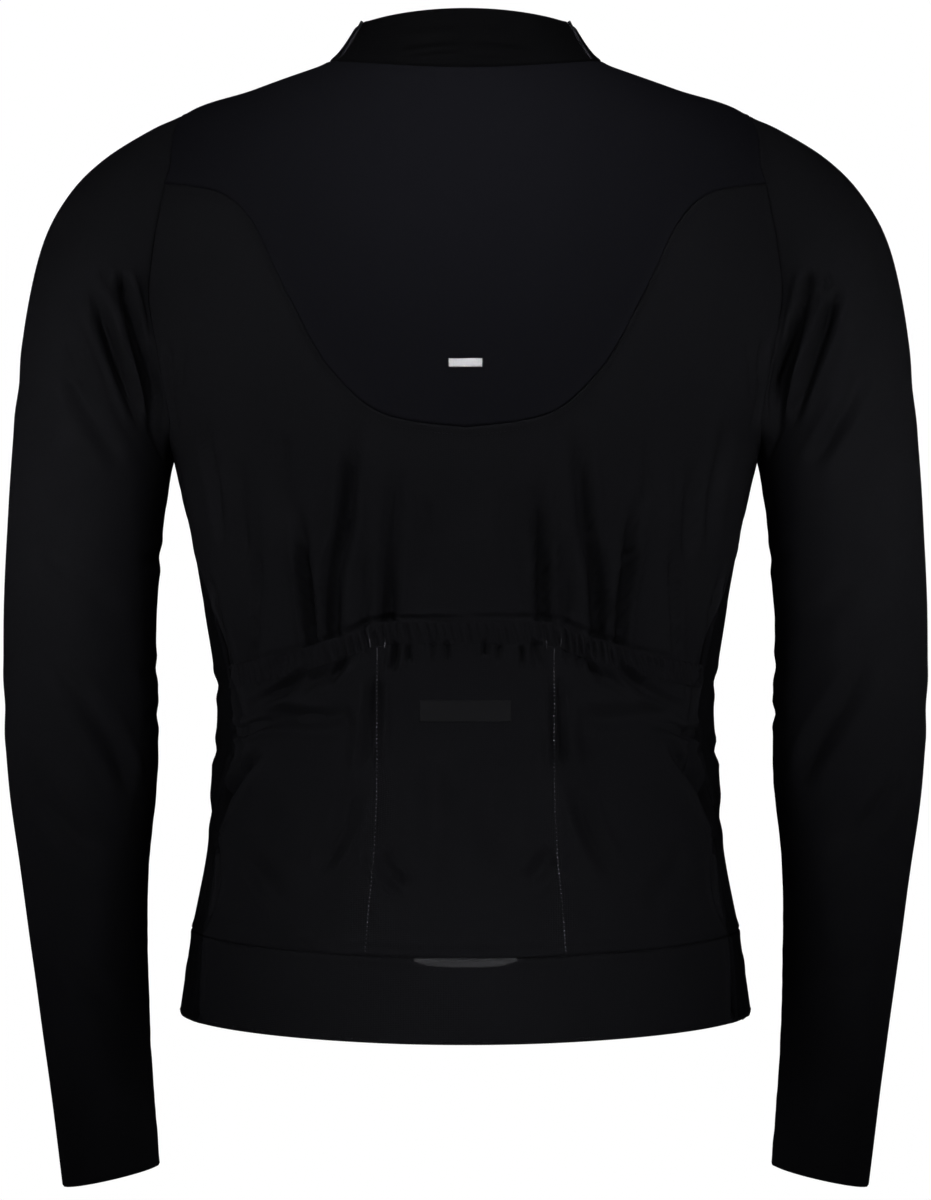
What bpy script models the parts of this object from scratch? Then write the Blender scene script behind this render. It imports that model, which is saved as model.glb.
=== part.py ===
"""Long-sleeved cycling jacket with a stand collar, a front zip and three rear pockets.

The jacket keeps the hollow form it has when worn, with every cut piece of cloth as its own
wall. Metres, +Z up. The zipped front faces -Y, the back faces +Y and the wearer's left is +X.
The origin is the middle of the neck opening, level with the collar seam at the shoulders.
"""
import math
from collections import namedtuple

import bmesh
import bpy
import numpy as np
from mathutils import Matrix, Vector

MM = 0.001

# Cloth and seams
CLOTH_WALL = 1.5 * MM
COLLAR_WALL = 2.0 * MM
TRIM_WALL = 1.0 * MM
SEAM_GAP = 0.3 * MM
LAYER_GAP = 0.35 * MM

# Counts of facets
SIDE_COLUMNS = 8          # from a side seam to a pocket divider
CENTRE_COLUMNS = 4        # from a pocket divider to the centre back
POCKET_ROWS = 4           # from the hem seam to the foot of the pocket hem
WAIST_ROWS = 5            # from the pocket mouth to the armpit, at the side
ARMHOLE_LOW_ROWS = 6      # from the armpit to the yoke seam, behind
ARMHOLE_TOP_ROWS = 4      # from the yoke seam over to the shoulder seam
ARMHOLE_FRONT_ROWS = 10
SHOULDER_ROWS = 4
NECK_FRONT_COLUMNS = 7
HEM_ROWS = 2
COLLAR_ROWS = 2

# Half the width of the gap between the fronts, and of the narrow strip beside it
ZIP_EDGE = 5.0 * MM
ZIP_STITCH = 14.0 * MM
SHOULDER_SEAM_DEG = -9.0  # the shoulder seam lies this far to the front of the ridge

# Rings round the body, hem to neck, in millimetres. Each passes through a side point,
# a back centre point and a front centre point; square is its superellipse exponent,
# fall says how late it drops from the side to the centre, and seam_deg is where the
# side seam crosses it, in degrees behind the side point.
Ring = namedtuple("Ring", "side_x side_z back_y back_z front_y front_z square fall seam_deg")
BODY_RINGS = [
    Ring(177.0, -585, 113, -596, -107, -568, 2.45, 2.0, 27.5),   # hem
    Ring(169.0, -533, 114, -544, -108, -515, 2.45, 2.0, 25.5),   # hem seam
    Ring(160.0, -484, 112, -490, -109, -470, 2.40, 2.0, 24.5),
    Ring(157.5, -440, 108, -442, -109, -430, 2.35, 2.0, 30.0),
    Ring(154.0, -394, 105, -394, -109, -388, 2.30, 2.0, 27.5),   # waist
    Ring(161.0, -342, 108, -342, -111, -340, 2.30, 2.0, 24.0),
    Ring(170.0, -291, 113, -291, -115, -291, 2.30, 2.0, 9.0),
    Ring(181.0, -241, 118, -243, -118, -242, 2.30, 2.0, 0.0),    # armpit
    Ring(199.0, -188, 120, -206, -118, -203, 2.30, 1.9, 0.0),
    Ring(206.0, -126, 118, -170, -113, -166, 2.30, 1.8, 0.0),    # widest, inside the sleeve
    Ring(198.0, -68, 113, -134, -106, -130, 2.30, 1.7, 0.0),
    Ring(175.0, -30, 104, -97, -99, -101, 2.25, 1.7, 0.0),       # shoulder point
    Ring(130.0, -13, 86, -50, -88, -80, 2.15, 1.7, 0.0),
    Ring(84.0, 3, 62, -6, -74, -60, 2.05, 1.9, 0.0),             # neck seam
]
HEM_SEAM, ARMPIT, SHOULDER_POINT, NECK = 1.0, 7.0, 11.0, 13.0

COLLAR_RINGS = [
    Ring(84.0, 3, 62, -6, -74, -60, 2.05, 1.9, 0.0),             # neck seam
    Ring(75.5, 14, 59, 12, -71, -38, 2.05, 1.9, 0.0),
    Ring(68.5, 25, 55, 31, -66, -15, 2.05, 1.9, 0.0),            # top edge
]

# Seams seen square from behind: distance from the centre back and height, in millimetres
Spot = namedtuple("Spot", "x z")
YOKE_SEAM = [Spot(183, -76), Spot(165, -79), Spot(148, -84), Spot(134, -95), Spot(122, -114),
             Spot(105, -150), Spot(92, -175), Spot(80, -193), Spot(57, -215), Spot(34, -223),
             Spot(0, -227)]
ARMHOLE_BACK = [Spot(181, -241), Spot(181, -225), Spot(183, -205), Spot(188, -176),
                Spot(193, -148), Spot(191, -120), Spot(187, -95), Spot(183, -76), Spot(180, -56),
                Spot(175, -30)]
ARMHOLE_FRONT = [Spot(175, -30), Spot(176, -50), Spot(179, -90), Spot(182, -130), Spot(183, -165),
                 Spot(181, -205), Spot(180.3, -226), Spot(181, -241)]
POCKET_MOUTH = [Spot(142.5, -370), Spot(117, -364), Spot(98, -359), Spot(67, -349), Spot(50, -343),
                Spot(0, -342)]
DIVIDER_TOP_X, DIVIDER_FOOT_X = 53.0, 59.5
POCKET_HEM_LEVELS = 0.27  # height of the pockets' turned top hem, in levels of the rings

# Rings round a sleeve below the armhole, in millimetres: its outermost and innermost points
# as seen from behind, its middle and half its depth front to back, and how far its front
# and back bow out over the arm.
Cuff = namedtuple("Cuff", "outer_x outer_z inner_x inner_z middle_y half_depth bow")
SLEEVE_RINGS = [
    Cuff(194, -38, 183.2, -250, 0, 57, 17),
    Cuff(223, -56, 183.8, -253.5, 0, 59, 14),
    Cuff(245, -78, 184.4, -257.5, 0, 60, 10),
    Cuff(262, -109, 185.1, -263, 0, 60, 7),
    Cuff(272.5, -155, 186.0, -269, 0, 60, 4),
    Cuff(279, -212, 188.0, -283, 0, 59, 2),
    Cuff(283.5, -272, 190.0, -308, 0, 58, 0),
    Cuff(286.5, -336, 192.8, -348, -1, 56, 0),
    Cuff(286.5, -396, 191.8, -396, -3, 53, 0),
    Cuff(284.0, -444, 192.4, -444, -7, 50, 0),
    Cuff(277.5, -496, 198.0, -496, -13, 46, 0),
    Cuff(271.0, -549, 199.0, -549, -20, 43, 0),
    Cuff(264.5, -602, 198.2, -602, -29, 40, 0),
    Cuff(258.8, -652, 195.8, -650, -38, 37, 0),
    Cuff(254.0, -699, 193.4, -686, -46, 34, 0),
]
EVEN_FROM_RING = 6        # from this ring on, the points are evenly spaced round the sleeve

# Trim, in metres
LABEL_SIZE = (55 * MM, 13 * MM)
LABEL_TOP_Z = -390 * MM
BAR_SIZE = (20 * MM, 5 * MM)
BAR_TOP_Z = -186 * MM
TAB_SIZE = (61 * MM, 5.4 * MM)
PIPING_RADIUS = 0.9 * MM
TAPE_WIDTH = 11.0 * MM
TEETH_HALF_WIDTH = 2.6 * MM
TEETH_THICKNESS = 1.8 * MM
COLLAR_SEAM_COLUMN = 4    # column of the yoke's neck edge where the collar is seamed

# Zip slider and pull tab
SLIDER_SIZE = (8.5 * MM, 11.0 * MM, 2.2 * MM)
SLIDER_BELOW_TOP = 9.0 * MM
LUG_GAP = 4.2 * MM
LUG_THICKNESS = 1.2 * MM
PIN_RADIUS = 0.7 * MM
EYE_RADIUS = 1.9 * MM
EYE_BORE = 1.05 * MM
PULL_SIZE = (6.0 * MM, 27.0 * MM, 1.5 * MM)
PULL_LEAN_DEG = 9.5       # the tab's free end leans in by this much, to rest on the teeth
STOP_SIZE = (7.0 * MM, 8.0 * MM, 2.4 * MM)
STOP_LEVELS = 0.18        # the teeth start this far up the first ring, above the stop


def catmull_rom(rows, position):
    """Value between table rows, each a tuple of numbers, on a smooth curve through them."""
    table = np.array(rows, float)
    last = len(table) - 1
    low = int(min(max(math.floor(position), 0), last - 1))
    t = position - low
    before = table[low - 1] if low > 0 else 2 * table[low] - table[low + 1]
    after = table[low + 2] if low + 2 <= last else 2 * table[low + 1] - table[low]
    here, there = table[low], table[low + 1]
    return 0.5 * (2 * here + (there - before) * t
                  + (2 * before - 5 * here + 4 * there - after) * t ** 2
                  + (3 * here - before - 3 * there + after) * t ** 3)


def ring_point(rings, degrees, level):
    """Point of the body or collar surface at an angle round it and a level up its rings."""
    ring = Ring(*catmull_rom(rings, level))
    c, s = math.cos(math.radians(degrees)), math.sin(math.radians(degrees))
    reach = (abs(c) ** ring.square + abs(s) ** ring.square) ** (-1.0 / ring.square)
    end_y, end_z = (ring.back_y, ring.back_z) if s >= 0 else (ring.front_y, ring.front_z)
    return np.array((ring.side_x * c * reach,
                     end_y * abs(s) * reach,
                     ring.side_z + (end_z - ring.side_z) * abs(s) ** ring.fall)) * MM


def body(degrees, level):
    return ring_point(BODY_RINGS, degrees, level)


SURVEY_MARKS = np.array([(angle, level) for angle in range(-90, 91, 5)
                         for level in np.arange(0, 13.01, 0.5)], float)
SURVEY_POINTS = np.array([body(*mark) for mark in SURVEY_MARKS])


def side_seam_angle(level):
    return Ring(*catmull_rom(BODY_RINGS, level)).seam_deg


def locate(spot, front=False):
    """Angle and level of the body point that lies at a spot seen square on."""
    sign = -1.0 if front else 1.0
    target = np.array((spot.x, spot.z), float)
    best = min(((a, l) for a in range(2, 90, 8) for l in np.arange(0.25, 13, 0.5)),
               key=lambda p: np.sum((body(sign * p[0], p[1])[[0, 2]] / MM - target) ** 2))
    guess = np.array(best, float)
    for _ in range(40):
        here = body(sign * guess[0], guess[1])[[0, 2]] / MM
        miss = target - here
        if np.abs(miss).max() < 0.01:
            break
        step = 1e-3
        turn = (body(sign * (guess[0] + step), guess[1])[[0, 2]] / MM - here) / step
        rise = (body(sign * guess[0], guess[1] + step)[[0, 2]] / MM - here) / step
        move = np.linalg.lstsq(np.column_stack((turn, rise)), miss, rcond=1e-4)[0]
        guess = guess + move * min(1.0, 4.0 / (abs(move[0]) + 1e-9), 0.4 / (abs(move[1]) + 1e-9))
        guess[0] = min(max(guess[0], 0.0), 90.0)
    return np.array((sign * guess[0], guess[1]))


def run_along(marks, count):
    """Evenly spaced (angle, level) marks along a line of marks, by length on the body."""
    fine = [catmull_rom(marks, k / 8) for k in range((len(marks) - 1) * 8 + 1)]
    places = np.array([body(*mark) for mark in fine])
    length = np.concatenate(([0], np.cumsum(np.linalg.norm(np.diff(places, axis=0), axis=1))))
    wanted = np.linspace(0, length[-1], count + 1)
    return np.column_stack([np.interp(wanted, length, np.array(fine)[:, k]) for k in (0, 1)])


def angle_for_x(x, level, front=False, rings=BODY_RINGS):
    """Angle at which a level's ring is at a given distance from the centre plane."""
    low, high = 0.0, 90.0
    sign = -1.0 if front else 1.0
    for _ in range(50):
        middle = (low + high) / 2
        if ring_point(rings, sign * middle, level)[0] > x:
            low = middle
        else:
            high = middle
    return sign * (low + high) / 2


def coons(bottom, top, left, right):
    """Grid that fills the space between four lines of points or marks."""
    s = np.linspace(0, 1, len(bottom))[None, :, None]
    t = np.linspace(0, 1, len(left))[:, None, None]
    across = (1 - t) * bottom[None] + t * top[None]
    up = (1 - s) * left[:, None] + s * right[:, None]
    corners = ((1 - s) * (1 - t) * bottom[0] + s * (1 - t) * bottom[-1]
               + (1 - s) * t * top[0] + s * t * top[-1])
    return across + up - corners


def settled(point):
    """The nearest point of the body surface."""
    guess = SURVEY_MARKS[np.argmin(np.sum((SURVEY_POINTS - point) ** 2, axis=1))].copy()
    step = 1e-3
    for _ in range(12):
        here = body(*guess)
        slopes = np.column_stack(((body(guess[0] + step, guess[1]) - here) / step,
                                  (body(guess[0], guess[1] + step) - here) / step))
        guess = guess + np.clip(np.linalg.lstsq(slopes, point - here, rcond=1e-3)[0],
                                (-6.0, -0.4), (6.0, 0.4))
    return body(*guess)


def panel(bottom, top, left, right):
    """Skin that fills the body surface between four lines of marks."""
    edges = [np.array([body(*mark) for mark in line]) for line in (bottom, top, left, right)]
    grid = coons(*edges)
    for i in range(1, grid.shape[0] - 1):
        for j in range(1, grid.shape[1] - 1):
            grid[i, j] = settled(grid[i, j])
    return grid


def on_body(marks, rings=BODY_RINGS):
    return np.array([[ring_point(rings, *mark) for mark in row] for row in marks])


def mirrored(points):
    """The same grid on the wearer's right, with its columns in turn so it still faces out."""
    return points[:, ::-1] * np.array((-1, 1, 1))


def both_halves(points):
    """A panel across the centre from its left half, whose last column is on the centre."""
    return np.concatenate((points, mirrored(points)[:, 1:]), axis=1)


# Lines of marks that the panels share

def straight(start, end, count):
    return np.linspace(np.array(start, float), np.array(end, float), count + 1)


def hem_seam_back():
    divider = angle_for_x(DIVIDER_FOOT_X * MM, HEM_SEAM)
    side = straight((side_seam_angle(HEM_SEAM), HEM_SEAM), (divider, HEM_SEAM), SIDE_COLUMNS)
    centre = straight((divider, HEM_SEAM), (90, HEM_SEAM), CENTRE_COLUMNS)
    return np.concatenate((side, centre[1:]))


def pocket_mouth():
    marks = [locate(spot) for spot in POCKET_MOUTH[:-1]]
    marks.append(np.array((90.0, level_for_height(POCKET_MOUTH[-1].z))))
    marks[0][0] = side_seam_angle(marks[0][1])
    fine = run_along(marks, 400)
    places = np.array([body(*mark)[0] for mark in fine])
    divider = int(np.argmin(np.abs(places - DIVIDER_TOP_X * MM)))
    side = fine[np.linspace(0, divider, SIDE_COLUMNS + 1).round().astype(int)]
    centre = fine[np.linspace(divider, 400, CENTRE_COLUMNS + 1).round().astype(int)]
    centre[-1][0] = 90.0
    return np.concatenate((side, centre[1:]))


def level_for_height(z, degrees=90.0):
    low, high = 0.0, NECK
    for _ in range(50):
        middle = (low + high) / 2
        if body(degrees, middle)[2] < z * MM:
            low = middle
        else:
            high = middle
    return (low + high) / 2


def side_seam(start, end, count):
    levels = np.linspace(start, end, count + 1)
    return np.array([(side_seam_angle(level), level) for level in levels])


def armhole():
    """Marks round the armhole: up behind from the armpit, over, and down in front."""
    back = [locate(spot) for spot in ARMHOLE_BACK]
    front = [locate(spot, front=True) for spot in ARMHOLE_FRONT]
    back[0] = front[-1] = np.array((0.0, ARMPIT))
    back[-1] = front[0] = np.array((0.0, SHOULDER_POINT))
    yoke_corner = ARMHOLE_BACK.index(YOKE_SEAM[0])
    low = run_along(back[:yoke_corner + 1], ARMHOLE_LOW_ROWS)
    fine = run_along(back[yoke_corner:] + front[1:], 400)
    past_top = np.where(fine[:, 0] <= SHOULDER_SEAM_DEG)[0][0]
    top = fine[np.linspace(0, past_top, ARMHOLE_TOP_ROWS + 1).round().astype(int)]
    rest = fine[np.linspace(past_top, 400, ARMHOLE_FRONT_ROWS + 1).round().astype(int)]
    return low, top, rest


def body_panels():
    """Outer skins of the cut pieces of the body, each a grid of points, rows from low to high."""
    low, top, front_hole = armhole()
    hem = hem_seam_back()
    mouth = pocket_mouth()
    yoke_marks = [locate(spot) for spot in YOKE_SEAM[:-1]]
    yoke_marks.append(np.array((90.0, level_for_height(YOKE_SEAM[-1].z))))
    yoke_marks[0] = low[-1]
    yoke_seam = run_along(yoke_marks, SIDE_COLUMNS + CENTRE_COLUMNS)

    stitched = mouth - np.array((0, POCKET_HEM_LEVELS))
    stitched[0][0] = side_seam_angle(stitched[0][1])
    pocket = panel(hem, stitched, side_seam(HEM_SEAM, stitched[0][1], POCKET_ROWS),
                   straight((90, HEM_SEAM), stitched[-1], POCKET_ROWS))
    upper_rows = WAIST_ROWS + ARMHOLE_LOW_ROWS
    upper_side = np.concatenate((side_seam(mouth[0][1], ARMPIT, WAIST_ROWS), low[1:]))
    upper = panel(mouth, yoke_seam, upper_side, straight(mouth[-1], yoke_seam[-1], upper_rows))

    shoulder = straight(top[-1], (SHOULDER_SEAM_DEG, NECK), SHOULDER_ROWS)
    columns = SIDE_COLUMNS + CENTRE_COLUMNS
    yoke_rows = ARMHOLE_TOP_ROWS + SHOULDER_ROWS
    neck_back = straight((SHOULDER_SEAM_DEG, NECK), (90, NECK), columns)
    yoke = panel(yoke_seam, neck_back, np.concatenate((top, shoulder[1:])),
                 straight(yoke_seam[-1], (90, NECK), yoke_rows))

    front_columns = SHOULDER_ROWS + NECK_FRONT_COLUMNS
    side = np.concatenate((side_seam(HEM_SEAM, stitched[0][1], POCKET_ROWS),
                           side_seam(mouth[0][1], ARMPIT, WAIST_ROWS),
                           front_hole[::-1][1:]))
    rows = len(side) - 1
    levels = np.linspace(HEM_SEAM, NECK, rows + 1)
    edge = np.array([(angle_for_x(ZIP_EDGE, level, True), level) for level in levels])
    strip = np.array([(angle_for_x(ZIP_STITCH, level, True), level) for level in levels])
    hem_front = straight(side[0], strip[0], front_columns - 1)
    neck_front = straight((SHOULDER_SEAM_DEG, NECK), strip[-1], NECK_FRONT_COLUMNS - 1)
    front_top = np.concatenate((shoulder, neck_front[1:]))
    front = panel(hem_front, front_top, side, strip)
    front = np.concatenate((front, on_body(edge[:, None])), axis=1)

    hem_rows = np.linspace(0, HEM_SEAM, HEM_ROWS + 1)
    hem_back = np.array([[(90 - (90 - a) * (90 - side_seam_angle(level)) / (90 - hem[0][0]), level)
                          for a, _ in hem] for level in hem_rows])
    hem_front_marks = []
    for level in hem_rows:
        start, stop = side_seam_angle(level), angle_for_x(ZIP_STITCH, level, True)
        line = straight((start, level), (stop, level), front_columns - 1)
        hem_front_marks.append(np.vstack((line, (angle_for_x(ZIP_EDGE, level, True), level))))

    return {"back_panel": both_halves(np.concatenate((pocket, upper))),
            "back_yoke": both_halves(yoke),
            "front_left": front[:, ::-1],
            "hem_back": both_halves(on_body(hem_back)),
            "hem_left": on_body(np.array(hem_front_marks))[:, ::-1]}


def collar_panels(skins):
    """Collar skins that rise from the neck edges of the yoke and of the left front."""
    columns = SIDE_COLUMNS + CENTRE_COLUMNS
    back_angles = np.linspace(SHOULDER_SEAM_DEG, 90, columns + 1)[COLLAR_SEAM_COLUMN:]
    levels = np.linspace(0, len(COLLAR_RINGS) - 1, COLLAR_ROWS + 1)
    back_marks, side_marks = [], []
    for level in levels:
        strip, edge = (angle_for_x(x, level, True, COLLAR_RINGS) for x in (ZIP_STITCH, ZIP_EDGE))
        angles = np.concatenate((
            [edge], np.linspace(strip, SHOULDER_SEAM_DEG, NECK_FRONT_COLUMNS),
            np.linspace(SHOULDER_SEAM_DEG, 90, columns + 1)[1:COLLAR_SEAM_COLUMN + 1]))
        side_marks.append([(angle, level) for angle in angles])
        back_marks.append([(angle, level) for angle in back_angles])
    skins["collar_back"] = both_halves(on_body(back_marks, COLLAR_RINGS))
    skins["collar_left"] = on_body(side_marks, COLLAR_RINGS)


def sleeve_skin():
    """Left sleeve: a ring of points per row, the cuff first and the armhole last."""
    low, top, front_hole = armhole()
    loop = np.concatenate((low[:-1], top[:-1], front_hole[:-1]))
    hole = np.array([body(*mark) for mark in loop])
    over = len(low) + int(np.argmax([mark[1] for mark in top[:-1]])) - 1
    turn = turns_round(hole, over)
    even = np.arange(len(loop)) / len(loop)
    rows = []
    for index, ring in enumerate(SLEEVE_RINGS):
        ease = min(1.0, index / EVEN_FROM_RING)
        rows.append(cuff_ring(ring, turn * (1 - ease) + even * ease))
    return np.array([hole] + rows)[::-1]


def turns_round(hole, over):
    """How far round the armhole each point is: 0 at the armpit, 0.5 at the shoulder point."""
    length = np.linalg.norm(np.diff(np.vstack((hole, hole[:1])), axis=0), axis=1)
    along = np.concatenate(([0], np.cumsum(length)))
    half, whole = along[over], along[-1]
    return np.where(along[:-1] <= half, 0.5 * along[:-1] / half,
                    0.5 + 0.5 * (along[:-1] - half) / (whole - half))


def cuff_ring(ring, turn):
    """Points round one sleeve ring, from the inner side, behind, over the outer side, in front."""
    inner = np.array((ring.inner_x, ring.middle_y, ring.inner_z))
    outer = np.array((ring.outer_x, ring.middle_y, ring.outer_z))
    phase = 2 * math.pi * turn[:, None]
    middle, arm = (inner + outer) / 2, (inner - outer) / 2
    bow = ring.bow * np.sin(phase) ** 2
    return (middle + arm * np.cos(phase) + np.array((0, ring.half_depth, 0)) * np.sin(phase)
            + np.array((1, 0, 0)) * bow) * MM


def corner_normals(skins, closed):
    """Outward direction at every grid point, shared by all the pieces that meet there.

    The body, the collar and each sleeve are one surface each, and count alike where they meet.
    """
    total = {}
    keys = {}
    for name, grid in skins.items():
        ring = np.concatenate((grid, grid[:, :1]), axis=1) if name in closed else grid
        keys[name] = [[tuple(np.round(p / MM, 2)) for p in row] for row in ring]
        surface = name.split("_")[0]
        surface = surface if surface in ("sleeve", "collar") else "body"
        for i in range(ring.shape[0] - 1):
            for j in range(ring.shape[1] - 1):
                a, b, c, d = ring[i, j], ring[i, j + 1], ring[i + 1, j + 1], ring[i + 1, j]
                face = np.cross(c - a, d - b)
                for y, x in ((i, j), (i, j + 1), (i + 1, j + 1), (i + 1, j)):
                    sums = total.setdefault(keys[name][y][x], {})
                    sums[surface] = sums.get(surface, np.zeros(3)) + face
    normals = {}
    for name, grid in skins.items():
        shared = np.zeros(grid.shape)
        for i, j in np.ndindex(grid.shape[:2]):
            sums = total[keys[name][i][j]].values()
            mean = sum(face / np.linalg.norm(face) for face in sums)
            shared[i, j] = mean / np.linalg.norm(mean)
        normals[name] = shared
    return normals


def pulled_in(grid, closed, left=True, right=True, low=True, high=True):
    """The grid with its edges drawn back by half a seam gap from its neighbours."""
    result = grid.copy()

    def draw(edge, inner):
        step = inner - edge
        return edge + step / np.linalg.norm(step, axis=-1, keepdims=True) * SEAM_GAP / 2

    if low:
        result[0] = draw(result[0], result[1])
    if high:
        result[-1] = draw(result[-1], result[-2])
    if not closed and left:
        result[:, 0] = draw(result[:, 0], result[:, 1])
    if not closed and right:
        result[:, -1] = draw(result[:, -1], result[:, -2])
    return result


def new_material(name, colour, roughness, metallic=0.0):
    material = bpy.data.materials.new(name)
    material.use_nodes = True
    shader = material.node_tree.nodes["Principled BSDF"]
    shader.inputs["Base Color"].default_value = (*colour, 1.0)
    shader.inputs["Roughness"].default_value = roughness
    shader.inputs["Metallic"].default_value = metallic
    return material


def add_object(name, bm, material, location=(0, 0, 0), smooth_deg=40):
    bmesh.ops.recalc_face_normals(bm, faces=bm.faces)
    mesh = bpy.data.meshes.new(name)
    bm.to_mesh(mesh)
    bm.free()
    mesh.materials.append(material)
    mesh.shade_smooth()
    mesh.set_sharp_from_angle(angle=math.radians(smooth_deg))
    thing = bpy.data.objects.new(name, mesh)
    thing.location = location
    bpy.context.scene.collection.objects.link(thing)
    return thing


def plain_grid(rows, columns, closed):
    """A flat grid, or a tube if closed, with each vertex's row and column."""
    bm = bmesh.new()
    if closed:
        bmesh.ops.create_cone(bm, cap_ends=False, segments=columns, radius1=1, radius2=1, depth=2)
        upright = [e for e in bm.edges if abs(e.verts[0].co.z - e.verts[1].co.z) > 1]
        bmesh.ops.subdivide_edges(bm, edges=upright, cuts=rows - 1, use_grid_fill=True)
        place = {v: (round((v.co.z + 1) / 2 * rows),
                     round(math.atan2(v.co.y, v.co.x) / math.tau * columns) % columns)
                 for v in bm.verts}
    else:
        bmesh.ops.create_grid(bm, x_segments=columns, y_segments=rows, size=1)
        place = {v: (round((v.co.y + 1) / 2 * rows), round((v.co.x + 1) / 2 * columns))
                 for v in bm.verts}
    return bm, place


def add_cloth(name, skin, normals, wall, material, closed=False):
    """A closed wall of cloth whose outer face is the grid of points."""
    rows = skin.shape[0] - 1
    columns = skin.shape[1] - (0 if closed else 1)
    bm, place = plain_grid(rows, columns, closed)
    inner_verts = list(bm.verts)
    grown = bmesh.ops.extrude_face_region(bm, geom=bm.faces[:], use_keep_orig=True)
    outer_verts = [item for item in grown["geom"] if isinstance(item, bmesh.types.BMVert)]
    where = {tuple(np.round(v.co, 5)): place[v] for v in inner_verts}
    for vert in outer_verts:
        i, j = where[tuple(np.round(vert.co, 5))]
        vert.co = Vector(skin[i, j])
    for vert in inner_verts:
        i, j = place[vert]
        vert.co = Vector(skin[i, j] - normals[i, j] * wall)
    inner = set(inner_verts)
    rim = [face for face in bm.faces if 0 < len(inner.intersection(face.verts)) < len(face.verts)]
    bmesh.ops.triangulate(bm, faces=rim, quad_method="SHORT_EDGE")   # alike on both sides of a seam
    return add_object(name, bm, material)


def raised(skin, normals, height):
    return skin + normals * height


def on_skin(skin, x, z):
    """Point of a faceted panel of the back that is seen at x and z from behind."""
    spot = np.array((x, z))
    for i in range(skin.shape[0] - 1):
        for j in range(skin.shape[1] - 1):
            square = (skin[i, j], skin[i, j + 1], skin[i + 1, j + 1], skin[i + 1, j])
            for facet in ((square[0], square[1], square[2]), (square[0], square[2], square[3])):
                a, b, c = (corner[[0, 2]] for corner in facet)
                across = np.column_stack((b - a, c - a))
                if abs(np.linalg.det(across)) < 1e-12:
                    continue
                u, v = np.linalg.solve(across, spot - a)
                if u >= -1e-6 and v >= -1e-6 and u + v <= 1 + 1e-6:
                    return facet[0] * (1 - u - v) + facet[1] * u + facet[2] * v
    raise ValueError(f"no facet at {x}, {z}")


def add_patch(name, base, size, height_z, lift, material, lens=False):
    """A small trim on a panel of the back, centred on it; a lens hangs from a straight top."""
    columns, rows = 8, 2
    half = size[0] / 2
    skin = []
    for i in range(rows + 1):
        line = []
        for j in range(columns + 1):
            x = half * (1 - 2 * j / columns)
            depth = size[1] * (1 - 0.94 * (x / half) ** 2 if lens else 1)
            line.append(on_skin(base, x, height_z - depth * (1 - i / rows)))
        skin.append(line)
    skin = np.array(skin)
    normals = corner_normals({name: skin}, ())[name]
    add_cloth(name, raised(skin, normals, lift + TRIM_WALL), normals, TRIM_WALL, material)


# The zip runs up the centre front: the body's levels first, then the collar's

def zip_path(start_level):
    """Rings and levels from a level of the hem up to the top edge of the collar."""
    rows = POCKET_ROWS + 1 + WAIST_ROWS + ARMHOLE_FRONT_ROWS
    levels = np.concatenate((np.linspace(start_level, HEM_SEAM, HEM_ROWS + 1),
                             np.linspace(HEM_SEAM, NECK, rows + 1)[1:-1]))
    stops = [(BODY_RINGS, level) for level in levels]
    top = len(COLLAR_RINGS) - 1
    return stops + [(COLLAR_RINGS, level) for level in np.linspace(0, top, COLLAR_ROWS + 1)]


def zip_skin(path, widths, lift):
    """Grid up the centre front at some distances from its centre, raised by lift(rings)."""
    front = np.array([[ring_point(rings, angle_for_x(abs(x), level, True, rings), level)
                       for x in widths] for rings, level in path])
    front[:, :, 0] = np.array(widths)
    normals = corner_normals({"zip": front}, ())["zip"]
    height = np.array([lift(rings) for rings, _ in path])[:, None, None]
    return raised(front, normals, height), normals


def under_cloth(rings):
    """Height of the tape's face, which lies just inside the fronts and the collar."""
    return -(COLLAR_WALL if rings is COLLAR_RINGS else CLOTH_WALL) - LAYER_GAP


def on_tape(rings):
    return under_cloth(rings) + SEAM_GAP + TEETH_THICKNESS


def add_zip_chain(tape_material, teeth_material):
    path = zip_path(0.0)
    skin, normals = zip_skin(path, (SEAM_GAP / 2, TAPE_WIDTH), under_cloth)
    add_cloth("zip_tape_left", skin, normals, TRIM_WALL, tape_material)
    add_cloth("zip_tape_right", mirrored(skin), mirrored(normals), TRIM_WALL, tape_material)
    skin, normals = zip_skin(zip_path(STOP_LEVELS), (-TEETH_HALF_WIDTH, TEETH_HALF_WIDTH), on_tape)
    add_cloth("zip_teeth", skin, normals, TEETH_THICKNESS, teeth_material)


def front_frame(rings, level, along, lift):
    """Matrix with X across, Y up the zip and Z out of the cloth, at a place on the centre front."""
    here = Vector(ring_point(rings, -90, level))
    up = (Vector(ring_point(rings, -90, level + 0.05)) - here).normalized()
    out = Vector((1, 0, 0)).cross(up).normalized()
    place = here + up * along + out * lift
    return Matrix.Translation(place) @ Matrix((Vector((1, 0, 0)), up, out)).transposed().to_4x4()


def box_mesh(size, centre=(0, 0, 0), bevel=0.0):
    bm = bmesh.new()
    bmesh.ops.create_cube(bm, size=1)
    bmesh.ops.scale(bm, vec=size, verts=bm.verts)
    bmesh.ops.translate(bm, vec=centre, verts=bm.verts)
    if bevel:
        bmesh.ops.bevel(bm, geom=bm.edges[:], offset=bevel, segments=2, profile=0.5, affect="EDGES")
    return bm


def rod_mesh(radius, length, centre, segments=20):
    """A round rod along X."""
    bm = bmesh.new()
    bmesh.ops.create_cone(bm, cap_ends=True, segments=segments, radius1=radius, radius2=radius,
                          depth=length, matrix=Matrix.Rotation(math.pi / 2, 4, "Y"))
    bmesh.ops.translate(bm, vec=centre, verts=bm.verts)
    return bm


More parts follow.
